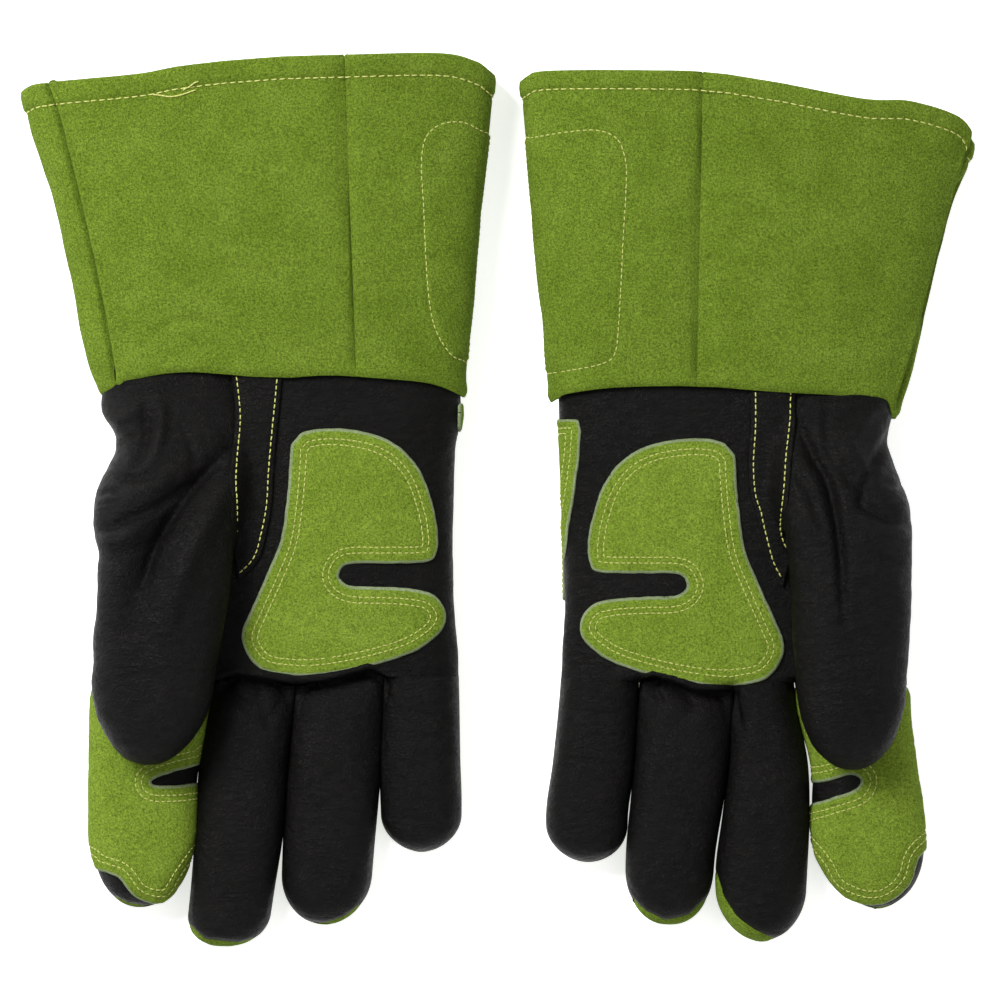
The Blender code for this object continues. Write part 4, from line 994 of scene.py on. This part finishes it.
class Glove:
    """One glove: its plan, its place in the frame, and the shape of its hand and fingers."""

    def __init__(self, name, side, plan):
        self.name, self.side = name, side
        self.plan = plan
        fold = JOINTS[f"{name}_wrist_fold"]["pos_m"]
        across, along = plan["wrist_fold"]
        self.origin = np.array([fold[0] / MM - side * across, fold[1] / MM - along, 0.0])
        self.digits = {finger: self.finger(finger) for finger in FINGERS}
        self.knuckles = np.array(plan["knuckles"], float)
        self.rails = np.array(plan["rails"], float)

    def finger(self, name):
        """A finger that lies on the floor, and gets thinner towards its tip."""
        shape = self.plan["digits"][name]
        at_base, at_tip = FINGER_THICK[name]
        start, tip = shape["line"][0][1], shape["line"][-1][1]
        return Digit(heights=((tip, at_tip, 0.0), (start, at_base, 0.0)), **shape)

    def world(self, points):
        """Plan millimetres to the frame's metres."""
        return (np.asarray(points, float) * (self.side, 1.0, 1.0) + self.origin) * MM

    def before_knuckles(self, points):
        """How far plan points lie from the line across the fingers' roots, positive towards the cuff."""
        return points[:, 1] - np.interp(points[:, 0], self.knuckles[:, 0], self.knuckles[:, 1])

    def ripple(self, points, size, deep, seed):
        """Uneven relief, different on the two gloves."""
        return deep * fractal(points, size, seed + (0 if self.side > 0 else 50))

    def limits_of(self, name):
        """The least and most across at y for a finger: it meets each neighbour half way between them."""
        i = FINGERS.index(name)

        def limits(y):
            middle, half, _, _ = self.digits[name].at(y)
            low, high = -500.0, 500.0
            pinch = PINCH * ease(y, -110, -90)
            if i > 0 and y > self.digits[FINGERS[i - 1]].tip:
                m, h, _, _ = self.digits[FINGERS[i - 1]].at(y)
                if m + h > middle - half:
                    low = (m + h + middle - half) / 2 - pinch
            if i < 3 and y > self.digits[FINGERS[i + 1]].tip:
                m, h, _, _ = self.digits[FINGERS[i + 1]].at(y)
                if m - h < middle + half:
                    high = (m - h + middle + half) / 2 + pinch
            return low, high
        return limits

    def side_rails(self, y):
        """The hand's least and most across at y. They run into the outer fingers at the knuckles."""
        rails = self.rails
        low, high = np.interp(y, rails[:, 0], rails[:, 1]), np.interp(y, rails[:, 0], rails[:, 2])
        m, h, _, _ = self.digits["index"].at(y)
        n, k, _, _ = self.digits["little"].at(y)
        share = 1 - ease(y, -66, -40)
        return low + (m - h - low) * share, high + (n + k - high) * share

    def hand_heights(self, x, y):
        """Top, base and widest level of the hand at plan points. Its end runs into the fingers' heights."""
        low, high = self.side_rails(y)
        u = (x - (low + high) / 2) / ((high - low) / 2)
        top, base = hand_section(y)
        mid = base + MID_SHARE * (top - base)
        above = mid + (top - mid) * profile(u, TOP_POWER)
        below = mid - (mid - base) * profile(u, BASE_POWER)
        fingers = [digit.heights(x, y) for digit in self.digits.values()]
        tops = np.max([np.where(on, t, 5.0) for t, _, on in fingers], axis=0)
        bases = np.min([np.where(on, b, 14.0) for _, b, on in fingers], axis=0)
        share = 1 - ease(y, -75, -69.5)
        edge = np.clip((1 - np.abs(u)) * 60, 0, 1)
        tops = np.maximum(tops, mid * 0.8)
        strap = rising(curve(self.plan["strap"][0], 60))
        line = np.interp(y, strap[:, 1], strap[:, 0])
        sunk = UNDER_THUMB * (1 - ease(x, line - 9, line + 1)) * ease(y, -20, -6)
        above = above - np.minimum(sunk, np.maximum(above - mid, 0))
        return above + (tops - above) * share * edge, below + (bases - below) * share * edge, mid

    def hand_skin(self):
        """The hand, from past the fingers' roots to inside the cuff."""
        rows, values = [], []
        for y in np.arange(-79, 58.5, ROW_STEP):
            low, high = self.side_rails(y)
            top, base = hand_section(y)
            x, z = ring_points((high - low) / 2, top, base, HAND_AROUND)
            x = x + (low + high) / 2
            above, below, mid = self.hand_heights(x, np.full(len(x), y))
            upper = z >= base + MID_SHARE * (top - base)
            z = np.where(upper, above, below)
            rows.append(np.column_stack([x, np.full(len(x), y), z]))
            values.append(np.column_stack([(z - mid) / (top - mid)]))
        return tube_skin(rows, values, "lift")

    def knuckle_crease(self, points, lift):
        """The fold across the roots of the middle and ring fingers, with the palm's lip over it."""
        far, _, _ = to_line(points, self.knuckles)
        first, last = self.plan["crease"]
        within = ease(points[:, 0], first - 4, first + 3) * (1 - ease(points[:, 0], last - 3, last + 4))
        below = self.before_knuckles(points) < 0
        lip = -2.0 * bell(far - 2.6, 2.1)
        dive = np.where(below, 6.4 * np.exp(-far / 4.6), 5.2 * np.exp(-((far / 1.0) ** 2)))
        return (np.where(below, 0, lip) + dive) * within * ease(lift, 0.1, 0.5)

    def leather_relief(self, skin, folded):
        """The relief that the hand and the fingers share: folds, unevenness and hand-placed creases."""
        lift = skin.values["lift"]
        depth = self.knuckle_crease(skin.points, lift) if folded else 0.0
        depth = depth + self.ripple(skin.points, 24.0, 0.45, 3) + self.ripple(skin.points, 7.0, 0.16, 9)
        # The relief that the hand and the fingers share: folds, unevenness and listed creases.
        return depth + strokes(skin.points, self.plan["palm_strokes"]) * ease(lift, 0.0, 0.4)


def hand_section(y):
    """The hand's top and base along the glove. It rises off the floor where it enters the cuff."""
    return np.interp(y, (-74, 36, 50), (22.4, 28.4, 28.4)), 2.4 * ease(y, 34, 46)


def widened(line, amount):
    """A plan polyline moved sideways by an amount, to the left of its direction."""
    line = np.asarray(line, float)
    ahead = np.gradient(line, axis=0)
    ahead /= np.linalg.norm(ahead, axis=1)[:, None]
    return line + np.column_stack([-ahead[:, 1], ahead[:, 0]]) * amount


def strokes(points, table):
    """Creases (deep) and ridges (negative), as listed: each is a line, its depth and its width."""
    depth = np.zeros(len(points))
    for line, deep, width in table:
        fine = curve(line, 40)
        far, _, along = to_line(points, fine)
        depth += deep * bell(far, width) * np.sin(np.pi * np.clip(along, 0.04, 0.96)) ** 0.5
    return depth


def build_thumb(glove):
    """The leather over the thumb's base, and the stall's front and back. Returns the base."""
    plan = glove.plan
    thumb = Digit(plan["thumb"], plan["thumb_tops"], **THUMB_TIP)
    skin = thumb.skin(56.0, ROW_STEP, THUMB_AROUND)

    def relief(skin):
        lift = skin.values["lift"]
        depth = strokes(skin.points, plan["thumb_strokes"]) * ease(lift, -0.1, 0.4)
        depth += glove.ripple(skin.points, 20.0, 0.6, 5) + glove.ripple(skin.points, 6.0, 0.2, 6)
        return depth + 1.1 * bell((lift + THUMB_SEAM) * 10, 1.3)

    skin.values["base"] = skin.points[:, 1] + THUMB_ROOT
    skin.values["upper"] = skin.values["lift"] + THUMB_SEAM
    base, stall = skin.cut(skin.values["base"])
    base.press(relief(base))
    panel(glove, "thumb_base", base, GRAIN, WRIST_BEND)
    front, back = stall.cut(stall.values["upper"])
    for name, piece in (("thumb_front", front), ("thumb_back", back)):
        piece.press(relief(piece))
        panel(glove, name, piece, GRAIN, THUMB_BEND)
    return base


def build_hand(glove, thumb_base):
    """The palm, the back, the strap and the lining. Returns the hand's smooth skin."""
    hand = glove.hand_skin()
    trunk = hand.cut(glove.before_knuckles(hand.points))[0]
    palm, back = trunk.cut(trunk.values["lift"] + SIDE_SEAM)
    for piece in (palm, back):
        seam = 1.3 * bell((piece.values["lift"] + SIDE_SEAM) * 12, 1.3)
        piece.press(glove.leather_relief(piece, True) + seam)
    panel(glove, "palm", palm, GRAIN, WRIST_BEND, bulge=0.02)
    panel(glove, "back", back, GREEN, WRIST_BEND)
    build_strap(glove, palm, thumb_base)
    inner = Skin(hand.points - hand.normals * HAND_LINING_IN, hand.faces, hand.values)
    clear_of_thumb = inner.points[:, 0] - glove.side_rails(0.0)[0] - 16
    inner = inner.cut(np.minimum(inner.points[:, 1] + 60, clear_of_thumb))[0]
    panel(glove, "hand_lining", inner, CLOTH, WRIST_BEND)
    return hand


def grooves(field, rows, deep):
    """The channels that rows of stitches lie in, at these distances from an edge."""
    return deep * (bell(field - rows[0], 0.6) + bell(field - rows[1], 0.6))


def set_out(skin, offset, field, seed, **values):
    """A copy of a skin this far out, for a patch whose raw, uneven edge is where the field changes sign."""
    rough = 0.13 * fractal(skin.points, 3.0, seed)
    return Skin(skin.points + skin.normals * offset, skin.faces, dict(inside=field + rough, **values))


def sew(glove, name, skin, fields, rows, shortest, motion):
    """The rows of stitches round a patch, where the skin's fields have these values."""
    lines = [line for field in fields for row in rows for line in skin.contour(skin.values[field], row)]
    lines = [line for line in lines if len(line) > shortest]
    stitches(glove, f"{name}_stitches", lines, PATCH_STITCH, motion)


def build_palm_patch(glove, hand):
    """The patch on the palm, with its flex notch."""
    offset, rows = PALM_SEWN
    shift_x, shift_y = glove.plan["patch_shift"]
    field = inside(hand.points, closed([(x + shift_x, y + shift_y) for x, y in PALM_PATCH], 400))
    field[hand.values["lift"] < 0.05] = OUTSIDE
    patch = set_out(hand, offset, field, 31, depth=field)
    channel = grooves(field, rows, 0.45) + 0.5 * bell(field, 1.4)
    patch.press(channel + glove.ripple(patch.points, 9.0, 0.22, 14) - 0.10 * fractal(patch.points, 1.8, 44))
    patch = patch.cut(patch.values["inside"])[0]
    panel(glove, "palm_patch", patch, PATCH, WRIST_BEND, bulge=0.75, rim=RAW_EDGE)
    sew(glove, "palm_patch", patch, ["depth"], rows, 20, WRIST_BEND)


def build_heel_patch(glove, hand):
    """The patch round the little finger's side of the palm, on to the underside."""
    plan = glove.plan
    offset, rows = HEEL_SEWN
    heel = np.array(sorted((y, x) for y, x in plan["heel"]), float)
    x, y = hand.points[:, 0], hand.points[:, 1]
    line = np.interp(y, heel[:, 0], heel[:, 1])
    wide = np.where(hand.values["lift"] > plan["heel_lift"], x - line, x - (line - plan["heel_under"]))
    wide = np.where(x > 30, wide, -9.0)
    field = np.minimum(wide, np.minimum(y - heel[0, 0], heel[-1, 0] - y))
    patch = set_out(hand, offset, field, 37, depth=field)
    patch.press(grooves(field, rows, 0.4) + glove.ripple(patch.points, 9.0, 0.2, 15))
    patch = patch.cut(patch.values["inside"])[0]
    panel(glove, "heel_patch", patch, PATCH, WRIST_BEND, bulge=0.6, rim=RAW_EDGE)
    sew(glove, "heel_patch", patch, ["depth"], rows, 20, WRIST_BEND)


def build_index_patch(glove, skin, motion):
    """The patch on the index finger, with its flex notch, from under the thumb nearly to the fingertip."""
    offset, rows = INDEX_SEWN
    x, y = skin.points[:, 0], skin.points[:, 1]
    lift, u = skin.values["lift"], skin.values["u"]
    notch = -inside(skin.points, closed(glove.plan["notch"], 200))
    tip = curve(glove.plan["patch_tip"], 80)
    tip = tip[np.argsort(tip[:, 0])]
    to_tip = to_line(skin.points, tip)[0] * np.sign(y - np.interp(x, tip[:, 0], tip[:, 1]))
    wrap = np.where(u < 0, lift + 0.45, lift - 0.12) * 10
    upper_end = INDEX_PATCH_END - y
    sewn = np.minimum(notch, to_tip)
    field = np.minimum(sewn, np.minimum(wrap, upper_end))
    patch = set_out(skin, offset, field, 33, notch=notch, tip=to_tip, lift=lift)
    channel = grooves(sewn, rows, 0.45) + 0.5 * bell(field, 1.3)
    patch.press(channel + 0.2 * fractal(patch.points, 9.0, 16) - 0.12 * fractal(patch.points, 1.8, 46))
    patch = patch.cut(patch.values["inside"])[0]
    nodes = ["index_patch_base", "index_patch"]
    panel(glove, "index_patch", patch, PATCH, motion, bulge=0.75, rim=RAW_EDGE, nodes=nodes)
    upper = patch.cut(patch.values["lift"] - 0.05)[0]
    sew(glove, "index_patch", upper, ["notch", "tip"], rows, 12, motion)


def build_finger(glove, name):
    """A finger's front and back, its gussets if it has any, and the index finger's base and patch."""
    skin = glove.digits[name].skin(-62.0, ROW_STEP, FINGER_AROUND, glove.limits_of(name))
    gusseted = name in ("middle", "ring")

    def relief(skin):
        free = 1 - ease(np.abs(skin.values["u"]), 0.86, 0.97)
        seam = 0.7 * bell(skin.values["upper"], 0.9) * np.where(skin.values["lift"] < 0, 0.3, 1.0)
        return glove.leather_relief(skin, gusseted) * free + seam

    # The black leather stops short of the tip, where the green leather of the back comes round it.
    edge = np.array(glove.plan["tip_edges"][name], float)
    ahead = skin.points[:, 1] - np.interp(skin.points[:, 0], edge[:, 0], edge[:, 1])
    skin.values["upper"] = np.minimum((skin.values["lift"] + SIDE_SEAM) * 9, ahead)
    skin = skin.cut(-glove.before_knuckles(skin.points))[0]
    bend = ("hand", name, *(INDEX_FOLD if name == "index" else FINGER_FOLD))
    if name == "index":
        skin, base = skin.cut(INDEX_BASE_END - skin.points[:, 1])
        base.press(relief(base))
        panel(glove, "index_base", base, GRAIN, ("hand",))
        build_index_patch(glove, glove.digits[name].skin(-66.0, 1.0, 110, glove.limits_of(name)), bend)
    front, back = skin.cut(skin.values["upper"])
    front.press(relief(front))
    back.press(relief(back))
    if gusseted:
        inner = 0.80 - np.abs(front.values["u"]) + 0.6 * (front.values["lift"] - 0.6)
        side, middle = front.cut(-inner)
        panel(glove, f"{name}_front", middle, GRAIN, bend)
        for label, piece in zip(("little", "thumb"), side.cut(side.values["u"])):
            panel(glove, f"{name}_{label}_side_gusset", piece, GRAIN, bend)
    else:
        panel(glove, f"{name}_front", front, GRAIN, bend, bulge=0.02)
    panel(glove, f"{name}_back", back, GREEN, bend, bulge=0.3)


def build_strap(glove, palm, thumb_base):
    """The narrow panel between the thumb's base and the palm, laid over both, its two edges stitched."""
    first, second = (curve(line, 90) for line in glove.plan["strap"])
    edges = widened(first, -STRAP_MARGIN), widened(second, STRAP_MARGIN)
    surfaces = tree(palm), tree(thumb_base)
    shares = np.linspace(0, 1, 15)
    grid = edges[0][:, None] + (edges[1] - edges[0])[:, None] * shares[:, None]
    heights = np.zeros(grid.shape[:2])
    for i, row in enumerate(grid):
        for j, (x, y) in enumerate(row):
            found = [surface.ray_cast(Vector((x, y, 100.0)), DOWN)[0] for surface in surfaces]
            heights[i, j] = max(spot.z for spot in found if spot is not None)
    for _ in range(8):
        padded = np.pad(heights, 1, mode="edge")
        sides = padded[:-2, 1:-1] + padded[2:, 1:-1] + padded[1:-1, :-2] + padded[1:-1, 2:]
        heights = (sides + heights) / 5
    across = np.linalg.norm(edges[1] - edges[0], axis=1)[:, None] * shares
    inset = np.minimum(across, across[:, -1:] - across)
    heights += STRAP_RISE - 0.6 * bell(inset - STRAP_MARGIN, 0.7) - 0.35 * bell(inset, 0.7)
    points = np.dstack([grid, heights])
    skin = grid_skin(points[:, ::-1] if points[0, 0, 1] < points[-1, 0, 1] else points)
    if skin.normals[:, 2].mean() < 0:
        skin = Skin(skin.points, skin.faces[:, ::-1])
    panel(glove, "thumb_strap", skin, GRAIN, WRIST_BEND, bulge=0.1, rim=BLACK, thick=STRAP)
    surface = tree(skin)
    rows = [dropped(line, surface) for line in (first, second)]
    stitches(glove, "thumb_strap_stitches", rows, STRAP_STITCH, WRIST_BEND)


def cuff_skin(cuff):
    """The cuff's smooth skin, from its foot over the hand to its slanting mouth."""
    left, right = (by_along([(x, y) for y, x in cuff[rail]]) for rail in ("thumb_rail", "little_rail"))
    mouth, bottom = (curve(cuff[edge], 160) for edge in ("mouth", "bottom"))
    mouth[:, 1] -= 0.8
    foot, head = (bottom[0, 0] + 5, bottom[-1, 0] - 3), (mouth[0, 0] + 2, mouth[-1, 0] - 3)
    rows, values = [], []
    for v in np.linspace(0, 1, CUFF_ROWS):
        top = 31.6 + 6.4 * v ** 0.8
        x, z = ring_points(1.0, top, 0.0, CUFF_AROUND)
        q = (x + 1) / 2
        low = np.interp(foot[0] + (foot[1] - foot[0]) * q, bottom[:, 0], bottom[:, 1])
        high = np.interp(head[0] + (head[1] - head[0]) * q, mouth[:, 0], mouth[:, 1])
        y = low + (high - low) * v
        x = left(y, 0) + (right(y, 0) - left(y, 0)) * q
        rows.append(np.column_stack([x, y, z]))
        mid = MID_SHARE * top
        values.append(np.column_stack([(z - mid) / (top - mid), high - y, y - low]))
    return tube_skin(rows, values, "lift", "from_mouth", "from_foot")


def build_cuff(glove):
    """The gauntlet cuff: three panels, a hem folded in at the mouth, a patch inside it, and a lining."""
    cuff = glove.plan["cuff"]
    hem = cuff["hem"]
    skin = cuff_skin(cuff)
    x, y = skin.points[:, 0], skin.points[:, 1]
    at = skin.values
    top_side = at["lift"] > 0
    centre, thumb = (rising(curve(cuff[seam], 80)) for seam in ("centre_seam", "thumb_seam"))
    under = np.interp(y, (40, 175), (34.0, 40.0))
    at["palm_or_back"] = np.where(top_side, np.interp(y, centre[:, 1], centre[:, 0]), under) - x
    at["palm"] = np.where(top_side, x - np.interp(y, thumb[:, 1], thumb[:, 0]), -20.0)
    within = inside(skin.points, closed(cuff["side_patch"], 300))

    def inner_skin(depth, field):
        return Skin(skin.points - skin.normals * depth, skin.faces, dict(at)).cut(field)[0]

    wrapped = np.minimum(x - 62, np.minimum(y - 54, 148 - y))
    patch = inner_skin(SIDE_PATCH_IN, np.where(top_side, within + 5.0, wrapped))
    lining = inner_skin(CUFF_LINING_IN, np.minimum(at["from_mouth"] - hem, at["from_foot"] - 2))
    at["within"] = np.where(top_side, within, -9.0)

    def relief(skin):
        at = skin.values
        deep = ease(at["from_foot"], 0.5, 6)
        seams = sum(2.0 * bell(at[name], 0.8) * deep - 0.4 * bell(at[name] - ridge, 1.2)
                    for name, ridge in (("palm_or_back", -2.0), ("palm", 2.0)))
        raised = -0.4 * ease(at["within"], -1.0, 1.6) + 0.45 * bell(at["within"], 0.8)
        ripple = fractal(skin.points, 30.0, 61 + glove.side) * 0.45 + fractal(skin.points, 9.0, 71) * 0.14
        dents = strokes(skin.points, cuff["dents"]) * ease(at["lift"], 0, 0.3)
        wide = at["from_mouth"]
        raised_hem = -0.8 * ease(-wide, -hem - 1.0, -hem + 1.5)
        folded = raised_hem + 0.5 * bell(wide - hem, 0.9) + 0.5 * bell(wide, 1.2)
        turned = -0.5 * (1 - ease(at["from_foot"], 3.0, 7.0)) + 0.9 * bell(at["from_foot"], 1.2)
        return seams + raised + ripple + folded + turned + dents

    side = skin.cut(-at["palm_or_back"] - SEAM_GAP)[0]
    rest = skin.cut(at["palm_or_back"] - SEAM_GAP)[0]
    palm = rest.cut(rest.values["palm"] - SEAM_GAP)[0]
    back = rest.cut(-rest.values["palm"] - SEAM_GAP)[0]
    for name, piece in (("cuff_side_panel", side), ("cuff_palm_panel", palm), ("cuff_back_panel", back)):
        piece.press(relief(piece))
        thick = LEATHER + HEM_THICK * ease(-piece.values["from_mouth"], -hem - 1.0, -hem + 0.5)
        panel(glove, name, piece, GREEN, ("cuff",), thick=thick)
    panel(glove, "cuff_side_patch", patch, GREEN, ("cuff",), thick=SIDE_PATCH)
    panel(glove, "cuff_lining", lining, CLOTH, ("cuff",))

    skin.press(relief(skin))
    upper = skin.cut(at["lift"])[0]
    for name, field, level, stitch in (("hem", "from_mouth", hem, HEM_STITCH),
                                       ("side_patch", "within", 0.0, SIDE_STITCH)):
        rows = [line for line in upper.contour(upper.values[field], level) if len(line) > 20]
        stitches(glove, f"{name}_stitches", rows, stitch, ("cuff",))
    if "overlap" in cuff:
        overlap = [dropped(curve(line, 30), tree(skin)) for line in cuff["overlap"]]
        stitches(glove, "hem_overlap_stitches", overlap, OVERLAP_STITCH, ("cuff",), lift=0.3)


for glove_name, side, plan in (("right", 1, RIGHT_PLAN), ("left", -1, LEFT_PLAN)):
    glove = Glove(glove_name, side, plan)
    smooth_hand = build_hand(glove, build_thumb(glove))
    build_palm_patch(glove, smooth_hand)
    build_heel_patch(glove, smooth_hand)
    for finger in FINGERS:
        build_finger(glove, finger)
    build_cuff(glove)


# ---------------------------------------------------------------- floor, light and camera

FLOOR_HALF, FLOOR_DROP = 3.0, -0.0005
WORLD_LIGHT, TABLE_GLOW = 0.46, 0.62
# Each lamp's place, its size and its power.
LAMPS = dict(overhead=((-0.8, 0.7, 1.15), 0.6, 36.0), side=((0.9, -0.5, 1.3), 1.2, 5.0))
LAMPS_AIM = (0, 0, 0.02)
# A long lens, so far up that the view at the gloves' mid height is this wide.
LENS, SENSOR, VIEW_WIDTH, MID_HEIGHT = 480.0, 36.0, 0.4, 0.015


def studio():
    """A white table, a large lamp from the upper left, a weak one from the right, and a camera above."""
    scene = bpy.context.scene
    scene.world = bpy.data.worlds.new("studio")
    scene.world.use_nodes = True
    background = scene.world.node_tree.nodes["Background"]
    background.inputs["Color"].default_value = (1, 1, 1, 1)
    background.inputs["Strength"].default_value = WORLD_LIGHT
    table = Material("white table", (0.92, 0.92, 0.92), 0.9)
    table.set("Emission Color", (1, 1, 1, 1))
    table.set("Emission Strength", TABLE_GLOW)
    corners = [(x * FLOOR_HALF, y * FLOOR_HALF, FLOOR_DROP) for x, y in ((-1, -1), (1, -1), (1, 1), (-1, 1))]
    floor = new_object("floor", np.array(corners), np.array([(0, 1, 2), (0, 2, 3)]), table.made, False)
    for name, (spot, size, power) in LAMPS.items():
        light = bpy.data.lights.new(name, "AREA")
        light.shape, light.size, light.energy = "SQUARE", size, power
        lamp = bpy.data.objects.new(name, light)
        lamp.location = spot
        lamp.rotation_euler = Vector(LAMPS_AIM - np.array(spot)).to_track_quat("-Z", "Y").to_euler()
        scene.collection.objects.link(lamp)
    lens = bpy.data.cameras.new("camera")
    lens.lens, lens.sensor_width = LENS, SENSOR
    lens.clip_end = 20.0
    view = bpy.data.objects.new("camera", lens)
    view.location = (0, 0, MID_HEIGHT + VIEW_WIDTH * LENS / SENSOR)
    scene.collection.objects.link(view)
    scene.camera = view
    scene.view_settings.view_transform = "Standard"


studio()
